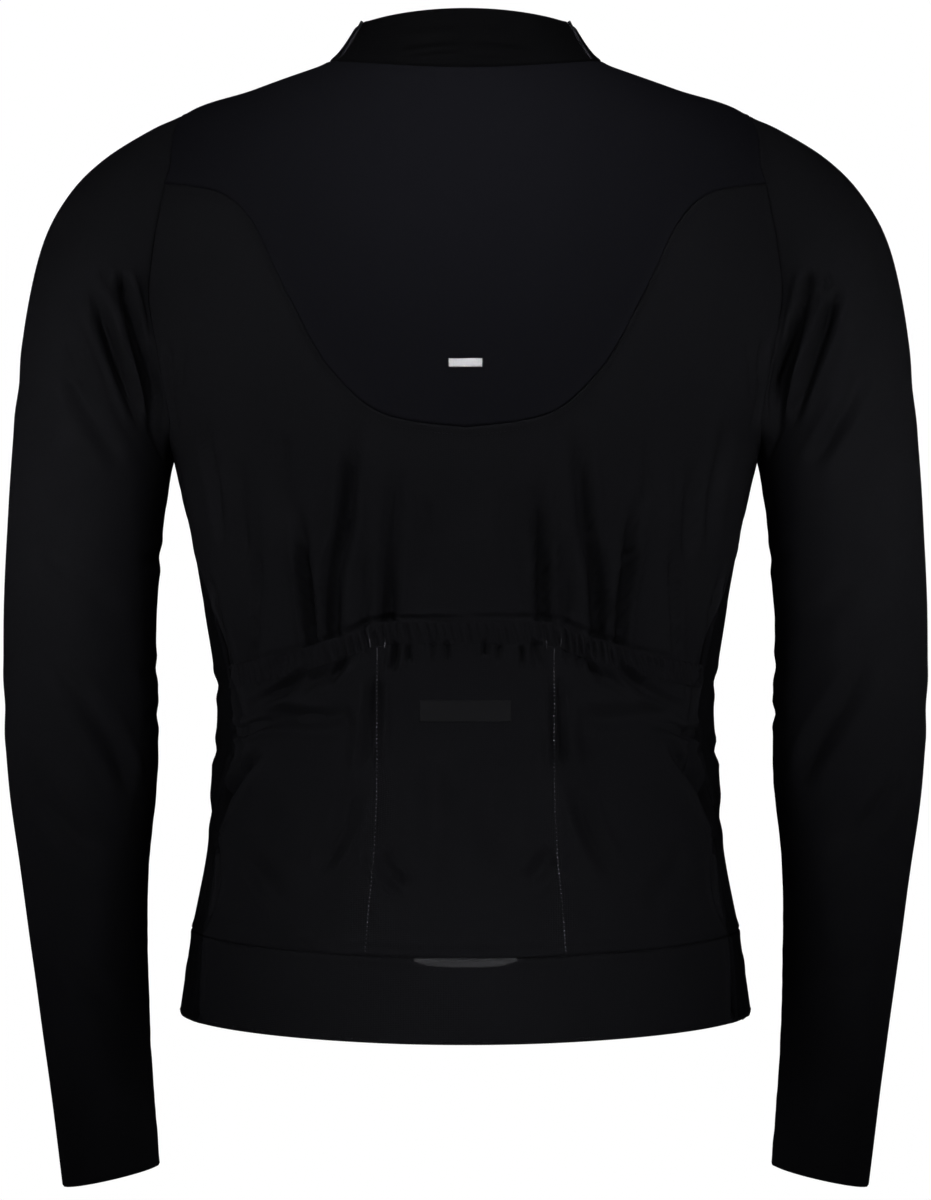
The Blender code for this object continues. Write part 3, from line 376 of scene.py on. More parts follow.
def homed(target, survey, seen=(0, 1, 2)):
    """Marks of the body points closest to targets, of which only some axes are seen.

    The search starts from the nearest of the marks of a survey.
    """
    seen = list(seen)
    places = surface(BODY_RINGS, survey)[:, seen]
    best, _ = nearest(target.reshape(-1, len(seen)), places)
    guess = survey[best].reshape(target.shape[:-1] + (2,))
    for _ in range(25):
        miss = target - surface(BODY_RINGS, guess)[..., seen]
        around, up = (slope[..., seen] for slope in slopes(BODY_RINGS, guess))
        aa, ab, bb = ((p * q).sum(-1) for p, q in ((around, around), (around, up), (up, up)))
        am, bm = (around * miss).sum(-1), (up * miss).sum(-1)
        aa, bb = aa * 1.0001, bb * 1.0001
        scale = aa * bb - ab * ab
        step = np.stack(((bb * am - ab * bm) / scale, (aa * bm - ab * am) / scale), -1)
        guess = guess + np.clip(step, (-6.0, -0.4), (6.0, 0.4))
    return guess


def located(spots, front=False):
    """Marks of the body points that lie at spots in millimetres, seen square on."""
    sign = -1.0 if front else 1.0
    survey = np.array([(sign * a, l) for a in range(2, 90, 8) for l in np.arange(0.25, NECK, 0.5)])
    return homed(np.array(spots, float) * MM, survey, (0, 2))


def settled(points):
    """Marks of the body points closest to some points."""
    return homed(points, np.array([(a, l) for a in range(-90, 91, 5)
                                   for l in np.arange(0, NECK + 0.01, 0.5)]))


def curved(points, times=24):
    """A smooth curve through points, with that many times as many spans."""
    last = len(points) - 1
    return run(points, np.linspace(0, last, times * last + 1))


def lengths(points):
    """Distances walked down each column of points, from its first row."""
    steps = np.linalg.norm(np.diff(points, axis=0), axis=-1)
    return np.concatenate((np.zeros((1,) + steps.shape[1:]), np.cumsum(steps, axis=0)))


def at_length(places, walked, field):
    """Values of a field along a line, at places measured along it."""
    return np.stack([np.interp(places, walked, values) for values in field.T], -1)


def along(line, shares):
    """Marks at shares of the length of a line of marks, measured on the body."""
    length = lengths(surface(BODY_RINGS, line))
    return at_length(shares * length[-1], length, line)


def length_of(line):
    """Length of a line of marks, measured on the body."""
    return lengths(surface(BODY_RINGS, line))[-1]


def straight(start, end):
    """Marks on a straight line from one mark to another."""
    return np.linspace(start, end, LINE_MARKS)


def spaced(length, step, low=True, high=True):
    """Shares of a length, a step apart and closer beside a seam at its low or high end."""
    near = np.array(STEPS_FROM_SEAM) * MM
    start = near if low else near[:1]
    stop = length - (near if high else near[:1])[::-1]
    count = max(2, round((stop[0] - start[-1]) / step))
    inner = np.linspace(start[-1], stop[0], count + 1)[1:-1]
    return np.concatenate((start, inner, stop)) / length


def angle_for_x(x, level, rings=BODY_RINGS):
    """Angles in front at which rings at some levels are at a distance from the centre."""
    level = np.asarray(level, float)
    low, high = np.zeros_like(level), np.full_like(level, 90.0)
    for _ in range(40):
        middle = (low + high) / 2
        outside = surface(rings, np.stack((-middle, level), -1))[..., 0] > x
        low, high = np.where(outside, middle, low), np.where(outside, high, middle)
    return -(low + high) / 2


def side_angle(level):
    """Angle at which the side seam crosses each level."""
    return run(BODY_RINGS, level)[..., Ring._fields.index("seam_deg")]


def side_seam(start, end):
    """Marks along the side seam between two levels."""
    levels = np.linspace(start, end, LINE_MARKS)
    return np.column_stack((side_angle(levels), levels))


def centre_level(z):
    """Level at which the middle of the back is at a height in mm."""
    levels = np.linspace(0, NECK, 1301)
    heights = surface(BODY_RINGS, [(90.0, level) for level in levels])[:, 2]
    return float(np.interp(z * MM, heights, levels))


# ---- cloth pieces on the form

Skin = namedtuple("Skin", "points normals")


def on_form(marks, rings=BODY_RINGS):
    """The form's skin at marks."""
    marks = np.array(marks, float)
    around, up = slopes(rings, marks)
    return Skin(surface(rings, marks), unit(np.cross(around, up)))


def panel(bottom, top, left, right, columns, rows):
    """Skin that fills the body surface between four lines of marks."""
    lines = [along(line, shares) for line, shares in
             ((bottom, columns), (top, columns), (left, rows), (right, rows))]
    bottom, top, left, right = (surface(BODY_RINGS, line) for line in lines)
    s, t = columns[None, :, None], rows[:, None, None]
    grid = ((1 - t) * bottom[None] + t * top[None] + (1 - s) * left[:, None] + s * right[:, None]
            - ((1 - s) * (1 - t) * bottom[0] + s * (1 - t) * bottom[-1]
               + (1 - s) * t * top[0] + s * t * top[-1]))
    marks = settled(grid)
    marks[0], marks[-1], marks[:, 0], marks[:, -1] = lines
    return on_form(marks)


def flipped(skin):
    """The same skin on the wearer's right, with its columns in turn so it still faces out."""
    return Skin(*(part[:, ::-1] * np.array((-1, 1, 1)) for part in skin))


def whole(half):
    """A skin across the centre from its left half, whose last column is on the centre."""
    return joined(half, flipped(half), axis=1)


def joined(first, second, axis):
    """Two skins that share an edge, as one."""
    rest = (slice(None),) * axis + (slice(1, None),)
    return Skin(*(np.concatenate((a, b[rest]), axis=axis) for a, b in zip(first, second)))


def turned(skin):
    """The same skin with its columns in the other order."""
    return Skin(*(part[:, ::-1] for part in skin))


@lru_cache(maxsize=None)
def armhole():
    """Lines of marks round the left armhole: low behind, over to the shoulder, and in front."""
    back, front = located(ARMHOLE_BACK), located(ARMHOLE_FRONT, front=True)
    back[0] = front[-1] = (0.0, ARMPIT)
    back[-1] = front[0] = (0.0, SHOULDER_POINT)
    corner = ARMHOLE_BACK.index(YOKE_SEAM[0])
    low = curved(back[:corner + 1])
    rest = curved(np.vstack((back[corner:], front[1:])))
    past = int(np.argmax(rest[:, 0] <= SHOULDER_SEAM_DEG))
    return low, rest[:past + 1], rest[past:]


@lru_cache(maxsize=None)
def seam_lines():
    """Lines of marks along the pockets' mouth, the foot of their hem, and the yoke seam."""
    low = armhole()[0]
    mouth, yoke = located(POCKET_MOUTH), located(YOKE_SEAM)
    mouth[0, 0] = side_angle(mouth[0, 1])
    yoke[0] = low[-1]
    for line, spots in ((mouth, POCKET_MOUTH), (yoke, YOKE_SEAM)):
        line[-1] = (90.0, centre_level(spots[-1][1]))
    mouth, yoke = curved(mouth), curved(yoke)
    mouth[-1, 0] = yoke[-1, 0] = 90.0
    stitched = mouth - np.array((0, POCKET_HEM_LEVELS))
    stitched[0, 0] = side_angle(stitched[0, 1])
    return mouth, stitched, yoke


def body_skins(step):
    """Skins of the back, the yoke, the left front, the hem and the pockets."""
    low, over, down = armhole()
    mouth, stitched, yoke_seam = seam_lines()
    seam = side_seam(HEM_SEAM, HEM_SEAM)[0]
    hem = straight(seam, (90, HEM_SEAM))
    columns = spaced(length_of(mouth), step, high=False)
    pocket = panel(hem, stitched, side_seam(HEM_SEAM, stitched[0, 1]),
                   straight((90, HEM_SEAM), stitched[-1]), columns, spaced(POCKET_HEIGHT, step))
    band = panel(stitched, mouth, side_seam(stitched[0, 1], mouth[0, 1]),
                 straight(stitched[-1], mouth[-1]), columns,
                 spaced(POCKET_HEM_HEIGHT, POCKET_HEM_STEP, low=False, high=False))
    behind = joined(pocket, band, axis=0)
    rows = [*range(0, len(behind.points) - 1, 3), -1]
    under = Skin(*(part[rows] for part in behind))
    side = np.vstack((side_seam(mouth[0, 1], ARMPIT), low[1:]))
    upper = panel(mouth, yoke_seam, side, straight(mouth[-1], yoke_seam[-1]), columns,
                  spaced(length_of(side), step, low=False))
    shoulder = straight(over[-1], (SHOULDER_SEAM_DEG, NECK))
    neck_back = straight((SHOULDER_SEAM_DEG, NECK), (90, NECK))
    side = np.vstack((over, shoulder[1:]))
    yoke = panel(yoke_seam, neck_back, side, straight(yoke_seam[-1], (90, NECK)),
                 spaced(length_of(yoke_seam), step, high=False), spaced(length_of(side), step))

    levels = np.linspace(HEM_SEAM, NECK, 193)
    strip = np.column_stack((angle_for_x(ZIP_STITCH, levels), levels))
    side = np.vstack((side_seam(HEM_SEAM, ARMPIT), down[::-1][1:]))
    top = np.vstack((shoulder, straight((SHOULDER_SEAM_DEG, NECK), strip[-1])[1:]))
    rows = spaced(length_of(side), step)
    front = panel(straight(side[0], strip[0]), top, side, strip,
                  spaced(length_of(top), step, high=False), rows)
    levels = along(strip, rows)[:, 1]
    edge = np.stack([np.column_stack((angle_for_x(x * MM, levels), levels))
                     for x in STEPS_TO_ZIP], axis=1)
    front = joined(front, on_form(edge), axis=1)

    reach = spaced(HEM_REACH, step, high=False)
    back_hem, front_hem = [], []
    for level in spaced(HEM_HEIGHT, step):
        turn = side_angle(level)
        back_hem.append([(angle, level) for angle in turn + (90 - turn) * reach])
        stop, end = (float(angle_for_x(x, level)) for x in (ZIP_STITCH, ZIP_EDGE))
        angles = (*(turn + (stop - turn) * reach), *np.linspace(stop, end, 8)[1:])
        front_hem.append([(angle, level) for angle in angles])
    return {"back_panel": whole(joined(under, upper, axis=0)), "back_yoke": whole(yoke),
            "front_left": turned(front), "hem_back": whole(on_form(back_hem)),
            "hem_left": turned(on_form(front_hem)),
            "pocket_strip": whole(pocket), "pocket_hem": whole(band)}, len(under.points)


def collar_skins(step):
    """Skins of the collar's back and its left front."""
    behind = spaced(COLLAR_BACK_REACH, step, high=False)
    behind = COLLAR_SEAM_DEG + (90 - COLLAR_SEAM_DEG) * behind
    reach = spaced(COLLAR_REACH, step, low=False)
    back, side = [], []
    for level in spaced(COLLAR_HEIGHT, 0.6 * step) * COLLAR_TOP:
        back.append([(angle, level) for angle in behind])
        edge, strip = (float(angle_for_x(x, level, COLLAR_RINGS)) for x in (ZIP_EDGE, ZIP_STITCH))
        angles = (*np.linspace(edge, strip, 8)[:-1], *(strip + (COLLAR_SEAM_DEG - strip) * reach))
        side.append([(angle, level) for angle in angles])
    return {"collar_back": whole(on_form(back, COLLAR_RINGS)),
            "collar_left": on_form(side, COLLAR_RINGS)}


def grid_normals(points, closed=False):
    """Outward directions of a grid from its own slopes."""
    if closed:
        points = np.concatenate((points[:, -2:-1], points, points[:, 1:2]), axis=1)
    up, across = np.gradient(points, axis=0), np.gradient(points, axis=1)
    normals = unit(np.cross(across, up))
    return normals[:, 1:-1] if closed else normals


def sleeve_skin(step):
    """Left sleeve, cuff to armhole, its columns running from the underarm over the back."""
    loop = np.vstack((armhole()[0], armhole()[1][1:], armhole()[2][1:]))
    count = round(length_of(loop) / (0.9 * step))
    marks = along(loop, np.arange(count) / count)
    hole = surface(BODY_RINGS, marks)
    length = lengths(np.vstack((hole, hole[:1])))
    over = int(np.argmax(marks[:, 1]))
    half, full = length[over], length[-1]
    turn = np.where(length[:-1] <= half, 0.5 * length[:-1] / half,
                    0.5 + 0.5 * (length[:-1] - half) / (full - half))
    rings = [hole]
    for index, ring in enumerate(SLEEVE_RINGS):
        ease = min(1.0, index / EVEN_FROM_RING)
        phase = 2 * math.pi * (turn * (1 - ease) + np.arange(count) / count * ease)[:, None]
        inner = np.array((ring.inner_x, ring.middle_y, ring.inner_z))
        outer = np.array((ring.outer_x, ring.middle_y, ring.outer_z))
        rings.append(((inner + outer) / 2 + (inner - outer) / 2 * np.cos(phase)
                      + np.array((0, ring.half_depth, 0)) * np.sin(phase)
                      + np.array((1, 0, 0)) * ring.bow * np.sin(phase) ** 2) * MM)
    rings = np.array(rings).reshape(len(rings), -1)
    place = np.linspace(0, len(rings) - 1, 12 * (len(rings) - 1) + 1)
    height = lengths(run(rings, place).reshape(len(place), -1, 3)).mean(axis=1)
    shares = spaced(height[-1], step)
    points = run(rings, np.interp(shares * height[-1], height, place)).reshape(len(shares), -1, 3)
    points = np.concatenate((points, points[:, :1]), axis=1)[::-1, ::-1]
    return Skin(points, grid_normals(points, closed=True))


@lru_cache(maxsize=None)
def skins(step):
    """Every cloth piece as it lies on the wearer's form, before folds and seams."""
    found, under_rows = body_skins(step)
    found.update(collar_skins(step))
    found["sleeve_left"] = sleeve_skin(step)
    for name in ("front_left", "hem_left", "collar_left", "sleeve_left"):
        found[name.replace("left", "right")] = flipped(found[name])
    return found, under_rows


# ---- folds and seams

def group_of(name):
    """Which group's folds a piece takes."""
    first = name.split("_")[0]
    return first if first in ("sleeve", "collar") else "body"


@lru_cache(maxsize=None)
def fold_lines(group, step, over=False):
    """Lines of points of a group's folds, with their depths and widths, on both sides.

    The folds that hang down behind the pockets are left out for what lies over them.
    """
    found, _ = skins(step)
    members = [skin for name, skin in found.items()
               if group_of(name) == group and not name.endswith("right")]
    points, normals = (np.concatenate([part.reshape(-1, 3) for part in parts])
                       for parts in zip(*members))
    lines = []
    placed = [(view, Fold(*row)) for view, rows in FOLDS[group].items() for row in rows]
    for number, (view, fold) in enumerate(placed):
        if over and fold.ends in BEHIND_POCKETS:
            continue
        axes, toward = VIEWS[view]
        ahead = (normals @ np.array(toward, float) > 0.08) & (points[:, 0] > -0.02)
        seen, held = points[ahead][:, axes], points[ahead]
        closest, _ = nearest(np.array(fold.line, float) * MM, seen)
        line = curved(held[closest], 16)
        lines.append((line, fold.depth, fold.width, fold.ends, number))
        uneven = 1 + SIDES_UNEVEN * math.sin(2.3 * number)
        shift = np.array((0, 0, SIDES_SHIFT * math.sin(1.7 * number))) * MM
        other = line * np.array((-1, 1, 1)) + shift
        lines.append((other, fold.depth * uneven, fold.width / uneven, fold.ends, number + 40))
    return lines


def folded(points, lines):
    """Height that the folds add at points: soft, uneven, and faded at both ends."""
    height = np.zeros(points.shape[:-1])
    for line, depth, width, ends, number in lines:
        width = width * MM
        margin = FOLD_REACH * width
        close = np.all((points > line.min(0) - margin) & (points < line.max(0) + margin), axis=-1)
        if not close.any():
            continue
        closest, away = nearest(points[close], line)
        share, off = closest / (len(line) - 1), np.sqrt(away) / width
        fade = eased(np.minimum(share / ends[0], (1 - share) / ends[1]))
        fade = fade * (1 + FOLD_UNEVEN * np.sin(7.1 * share + number))
        rim = RIM_HEIGHT * np.exp(-((off - RIM_AT) / RIM_WIDTH) ** 2)
        shape = np.exp(-(TROUGH_TAPER * off) ** 2) - rim
        height[close] -= depth * MM * fade * shape
    return height


def wavering(points, size, seed):
    """Smooth uneven numbers from -1 to 1 that vary over some size."""
    shift = Vector((seed, 2.1 * seed, -seed))
    flat = points.reshape(-1, 3) / size
    return np.array([noise.noise(Vector(p) + shift) for p in flat]).reshape(points.shape[:-1])


def eased(values):
    """Values from 0 to 1, eased in and out."""
    values = np.clip(values, 0, 1)
    return values * values * (3 - 2 * values)


def edge_distances(points):
    """Distance along the cloth of every grid point from the left, right, low and high edges."""
    across = lengths(np.swapaxes(points, 0, 1)).T
    up = lengths(points)
    return {"left": across, "right": across[:, -1:] - across, "low": up, "high": up[-1:] - up}


# What is at the left, right, low and high edges of each piece: a seam, a turned edge or nothing
EDGES = {
    "back_panel": ("seam", "seam", None, "seam"),
    "back_yoke": ("seam", "seam", "seam", "seam"),
    "front_left": ("turned", "seam", "seam", "seam"),
    "hem_back": ("seam", "seam", "turned", "seam"),
    "hem_left": ("turned", "seam", "turned", "seam"),
    "pocket_strip": ("seam", "seam", "seam", None),
    "pocket_hem": ("seam", "seam", None, "turned"),
    "collar_back": ("seam", "seam", "seam", "turned"),
    "collar_left": ("turned", "seam", "seam", "turned"),
    "sleeve_left": ("seam", "seam", "turned", "seam"),
}

# Pieces gathered closely, and how many times finer their points are
GATHERED = {"pocket_strip": 2, "pocket_hem": 3}


def edges_of(name):
    """What is at each edge of a piece; a right one is its left one turned over."""
    order = ("right", "left") if name.endswith("_right") else ("left", "right")
    kinds = EDGES[name.replace("right", "left")]
    return {edge: kind for edge, kind in zip((*order, "low", "high"), kinds) if kind}


@lru_cache(maxsize=None)
def corners_of_form():
    """Points along the neck seam and both armholes, where the form turns a corner."""
    hole = surface(BODY_RINGS, np.vstack([along(part, np.linspace(0, 1, 120)) for part in armhole()]))
    neck = surface(BODY_RINGS, [(angle, NECK) for angle in np.linspace(-180, 180, 241)])
    return np.vstack((hole, hole * np.array((-1, 1, 1)), neck))


def off_corners(points):
    """Distance in mm to the nearest seam at a corner of the form, no further than surveyed."""
    _, away = nearest(points.reshape(-1, 3), corners_of_form())
    return np.minimum(CORNER_SURVEY, np.sqrt(away) / MM).reshape(points.shape[:-1])


def refined(points, times):
    """A grid's points on smooth curves through them, that many times closer together."""
    for _ in range(2):
        fine = curved(points.reshape(len(points), -1), times)
        points = np.swapaxes(fine.reshape(len(fine), *points.shape[1:]), 0, 1)
    return points


@lru_cache(maxsize=None)
def formed(name, step, puff):
    """A piece's outer skin with its folds, the swell beside its seams and its lift."""
    found, under_rows = skins(step)
    skin = found[name]
    if name in GATHERED:
        points = refined(skin.points, GATHERED[name])
        skin = Skin(points, grid_normals(points))
    points = skin.points
    corner = off_corners(points)
    height = folded(points, fold_lines(group_of(name), step, name.startswith("pocket")))
    height += WAVE_HEIGHT * wavering(points, WAVE_SIZE, seed=3.0)
    height *= eased(corner / FOLDS_FROM_CORNER)
    off = edge_distances(points)
    swell = np.zeros(points.shape[:-1])
    for number, (edge, kind) in enumerate(edges_of(name).items()):
        d = off[edge] / MM
        if kind == "seam":
            pucker = 1 + PUCKER_SHARE * wavering(points, PUCKER_SIZE, seed=11.0 + number)
            swell += puff * pucker * (d / SWELL_REACH) * np.exp(1 - d / SWELL_REACH)
            swell -= SEAM_SINK * MM * np.exp(-d / SEAM_WIDTH) * eased(corner / SEAMS_FROM_CORNER)
        else:
            swell -= ROLL_SINK * MM * np.exp(-(d / ROLL_WIDTH) ** 2)
    side = np.minimum(off["left"], off["right"])
    if name == "back_panel":
        inside = np.minimum(side, off["low"])[:under_rows]
        swell[:under_rows] = -BEHIND_SINK * eased(1 - inside / POCKET_EASE)
    height += swell
    if name.startswith("pocket"):
        inside = side if name == "pocket_hem" else np.minimum(side, off["low"])
        height += POCKET_LIFT + POCKET_FULLNESS * eased(inside / POCKET_EASE)
    if name == "pocket_hem":
        height += gathered(points, off)
    if name == "pocket_strip":
        height += dented(points, off)
    moved = tucked(name, points) + skin.normals * height[..., None]
    return Skin(moved, grid_normals(moved, closed=name.startswith("sleeve")))


def tucked(name, points):
    """Points with each seamed edge drawn out a little, so that it closes on its neighbour."""
    points = points.copy()
    for edge, kind in edges_of(name).items():
        if kind != "seam" or (name.startswith("sleeve") and edge in ("left", "right")):
            continue
        last, inner = {"left": (np.s_[:, 0], np.s_[:, 1]), "right": (np.s_[:, -1], np.s_[:, -2]),
                       "low": (np.s_[0], np.s_[1]), "high": (np.s_[-1], np.s_[-2])}[edge]
        at_foot = name.startswith("collar") and edge == "low"
        reach = COLLAR_FOOT_TUCK if at_foot else SEAM_TUCK
        points[last] = points[last] + reach * unit(points[last] - points[inner])
    return points


def gathered(points, off):
    """Small upright puckers where elastic draws in the pockets' turned top hem."""
    share = off["low"] / (off["low"] + off["high"])
    upright = points * (1, 1, 0.2)
    phase = 2 * math.pi * off["left"] / GATHER_PITCH + 3.0 * wavering(upright, 0.014, seed=5.0)
    body = np.sin(math.pi * np.clip(share * 0.94 + 0.03, 0, 1)) ** 0.6
    depth = GATHER_DEPTH * np.clip(0.8 + 0.7 * wavering(upright, 0.03, seed=8.0), 0.35, 1.2)
    return GATHER_FULLNESS * body - depth * (0.5 + 0.5 * np.sin(phase)) ** 2.5 * body


def dented(points, off):
    """Short dents where the gathered hem draws up the cloth of the pockets below it."""
    upright = points * (1, 1, 0.15)
    place = np.clip(1.9 * wavering(upright, 0.0075, seed=21.0) - 0.3, 0, 1)
    return -DENT_DEPTH * place * np.exp(-((off["high"] - DENT_DROP) / DENT_LENGTH) ** 2)


# ---- meshes

def shaped(name):
    """A piece's outer skin at the jacket's own settings."""
    sizes = bpy.context.scene.jacket_sizes
    return formed(name, sizes.cell, sizes.seam_swell)


def made(bm, name, smooth=True):
    """The mesh that a bmesh has become."""
    mesh = bpy.data.meshes.new(name)
    bm.to_mesh(mesh)
    bm.free()
    if smooth:
        mesh.shade_smooth()
    return mesh


def add_piece(name, mesh, finish, nodes=(), wall=0.0):
    """Puts a finished mesh in the scene on the garment, in place of its CAD nodes."""
    mesh.materials.clear()
    mesh.materials.append(finishes()[finish])
    piece = bpy.data.objects.new(name, mesh)
    bpy.context.scene.collection.objects.link(piece)
    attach(piece, "garment")
    if nodes:
        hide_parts(*nodes)
    if wall:
        inward = piece.modifiers.new("wall", "SOLIDIFY")
        inward.thickness = wall
        inward.offset = -1
    return piece


def grid_mesh(name, points, closed=False):
    """A grid of faces through points, with its UV map in millimetres along the cloth."""
    rows, columns = points.shape[0] - 1, points.shape[1] - 1
    bm = bmesh.new()
    bmesh.ops.create_grid(bm, x_segments=columns, y_segments=rows, size=1)
    mesh = made(bm, name)
    mesh.vertices.foreach_set("co", points.astype(np.float32).ravel())
    off = edge_distances(points)
    across = off["left"] - off["left"][:, columns // 2:columns // 2 + 1]
    corner = np.zeros(len(mesh.loops), np.int32)
    mesh.loops.foreach_get("vertex_index", corner)
    cut = (np.stack((across, off["low"]), -1) / MM).reshape(-1, 2)[corner]
    mesh.uv_layers.new(name="cut").data.foreach_set("uv", cut.astype(np.float32).ravel())
    if closed:
        bm = bmesh.new()
        bm.from_mesh(mesh)
        edge = [v for v in bm.verts if v.is_boundary]
        bmesh.ops.remove_doubles(bm, verts=edge, dist=1e-6)
        bm.to_mesh(mesh)
        bm.free()
    return mesh


def add_cloths(finish, *names):
    """Pieces of cloth with their walls, each in place of the CAD node of its name."""
    sizes = bpy.context.scene.jacket_sizes
    wall = sizes.collar_wall if finish == "collar_knit" else sizes.cloth_wall
    for name in names:
        mesh = grid_mesh(name + "_cloth", shaped(name).points, closed=name.startswith("sleeve"))
        add_piece(name + "_cloth", mesh, finish, [name], wall)


def beside(name, edge, distance):
    """Points and outward directions along a piece's edge, at a distance from it in mm."""
    points, normals = shaped(name)
    off = edge_distances(points)[edge]
    if edge == "high":
        off, points, normals = off[::-1], points[::-1], normals[::-1]
    line, out = (np.array([at_length(distance * MM, off[:, k], field[:, k])
                           for k in range(off.shape[1])]) for field in (points, normals))
    return line, unit(out)


def dropped(names, spots):
    """Points and outward directions where spots, seen square on, fall on cloth at the back."""
    graph = bpy.context.evaluated_depsgraph_get()
    trees = [BVHTree.FromObject(bpy.data.objects[name], graph) for name in names]
    found = []
    for x, z in spots:
        hits = [tree.ray_cast(Vector((x, 1, z)), Vector((0, -1, 0))) for tree in trees]
        hits = [hit for hit in hits if hit[0] is not None]
        if not hits:
            raise ValueError(f"no cloth at {x:.3f}, {z:.3f}")
        found.append(min(hits, key=lambda hit: hit[3])[:2])
    return found


def laid_on(names, spots):
    """Points and outward directions along a line of spots in mm that lies on cloth."""
    fine = curved(spots, 40)
    length = lengths(fine)
    count = max(2, round(length[-1] / 1.2))
    fine = at_length(np.linspace(0, length[-1], count + 1), length, fine) * MM
    return [np.array(part) for part in zip(*dropped(names, fine))]


def add_stitches(name, runs, finish, pitch=2.45, length=1.7, radius=0.24, proud=0.35):
    """Beads of thread along lines on the cloth, each one stitch that shows between its holes.

    Sizes are in millimetres, and proud is the share of its radius by which a bead is raised.
    """
    bm = bmesh.new()
    for line, out in runs:
        walked = lengths(line)
        count = int(walked[-1] / (pitch * MM))
        for k in range(count):
            at = (k + 0.5) * walked[-1] / count
            place, ahead, normal = (at_length(at + shift * MM, walked, field)
                                    for shift, field in ((0, line), (0.5, line), (0, out)))
            forward = Vector(ahead - place).normalized()
            up = Vector(normal).normalized()
            side = up.cross(forward).normalized()
            up = forward.cross(side)
            turn = Matrix((forward * length / 2, side * radius, up * radius)).transposed()
            place = Matrix.Translation(Vector(place) + up * radius * proud * MM)
            bmesh.ops.create_icosphere(bm, subdivisions=1, radius=1,
                                       matrix=place @ (turn * MM).to_4x4())
    add_piece(name, made(bm, name), finish)


def add_trim(trim, top, depth_at):
    """A small trim that lies on cloth behind, centred, from a straight top edge down."""
    columns, rows = trim.cells
    across = [trim.size[0] * (0.5 - j / columns) for j in range(columns + 1)]
    spots = [(x * MM, (top - depth_at(x) * (1 - i / rows)) * MM)
             for i in range(rows + 1) for x in across]
    lift = trim.lift * MM + trim.wall * MM
    points = np.array([place + normal * lift for place, normal in dropped([trim.cloth], spots)])
    mesh = grid_mesh(trim.name, points.reshape(rows + 1, columns + 1, 3))
    add_piece(trim.name, mesh, trim.finish, [trim.node], trim.wall * MM)


# ---- materials

def linear(code, share=1.0):
    """An sRGB hex colour as linear values, or the share of it that a dark dye leaves."""
    values = [int(code[k:k + 2], 16) / 255 for k in (0, 2, 4)]
    return tuple(share * (v / 12.92 if v <= 0.04045 else ((v + 0.055) / 1.055) ** 2.4)
                 for v in values)


def dark(*codes, share=DYE):
    """Colours of dyed cloth, from hex shades much paler than they end up."""
    return [linear(code, share) for code in codes]


def put(tree, kind, settings=(), **links):
    """Adds a node with its settings, and fills its sockets, by name or number, with values
    or other sockets."""
    node = tree.nodes.new("ShaderNode" + kind)
    for key, value in dict(settings).items():
        setattr(node, key, value)
    for key, value in links.items():
        key = key.replace("_", " ").strip()
        socket = node.inputs[int(key)] if key.isdigit() else node.inputs[key]
        if isinstance(value, bpy.types.NodeSocket):
            tree.links.new(value, socket)
        else:
            socket.default_value = value
    return node


def new_material(name):
    """A material with an empty tree of nodes."""
    material = bpy.data.materials.new(name)
    material.use_nodes = True
    material.node_tree.nodes.clear()
    return material, material.node_tree


def close_material(tree, colours, blend, height, relief, roughness, gloss=0.0, strength=0.4):
    """Joins a pattern's two sockets to a shader: its mix of two shades and its height in mm."""
    colour, shade = colours
    mixed = put(tree, "Mix", {"data_type": "RGBA"}, Factor=blend, _6=(*shade, 1), _7=(*colour, 1))
    bump = put(tree, "Bump", Height=height, Strength=strength, Distance=relief * MM)
    shader = put(tree, "BsdfPrincipled", Base_Color=mixed.outputs[2], Roughness=roughness,
                 Specular_IOR_Level=gloss, Normal=bump.outputs["Normal"])
    put(tree, "OutputMaterial", Surface=shader.outputs["BSDF"])


def knit(name, codes, wale, course, relief, roughness=0.95, share=DYE):
    """Knitted cloth: upright wales crossed by courses in mm, under an uneven nap."""
    material, tree = new_material(name)
    cut = put(tree, "UVMap", {"uv_map": "cut"}).outputs["UV"]
    ruffled, broad = (put(tree, "TexNoise", Vector=cut, Scale=scale, Detail=detail).outputs["Fac"]
                      for scale, detail in ((0.35, 3.0), (0.03, 2.0)))
    wales, courses = (put(tree, "TexWave", {"bands_direction": way}, Vector=cut, Distortion=0.6,
                          Scale=math.pi / 10 / pitch, Detail=1.0).outputs["Fac"]
                      for way, pitch in (("X", wale), ("Y", course)))
    loops = put(tree, "Math", {"operation": "MULTIPLY"}, _0=wales, _1=courses).outputs[0]
    nap = put(tree, "Math", {"operation": "ADD"}, _0=loops, _1=ruffled).outputs[0]
    both = put(tree, "Math", {"operation": "ADD"}, _0=ruffled, _1=broad).outputs[0]
    blend = put(tree, "MapRange", Value=both, From_Min=0.6, From_Max=1.4).outputs[0]
    close_material(tree, dark(*codes, share=share), blend, nap, relief, roughness, strength=0.6)
    return material


def plain(name, colours, grain, relief, roughness, gloss=0.0):
    """A surface with a fine grain of some size in mm, uneven between two shades."""
    material, tree = new_material(name)
    place = put(tree, "TexCoord").outputs["Object"]
    speck = put(tree, "TexNoise", Vector=place, Scale=1 / (grain * MM), Detail=2.0).outputs["Fac"]
    close_material(tree, colours, speck, speck, relief, roughness, gloss)
    return material


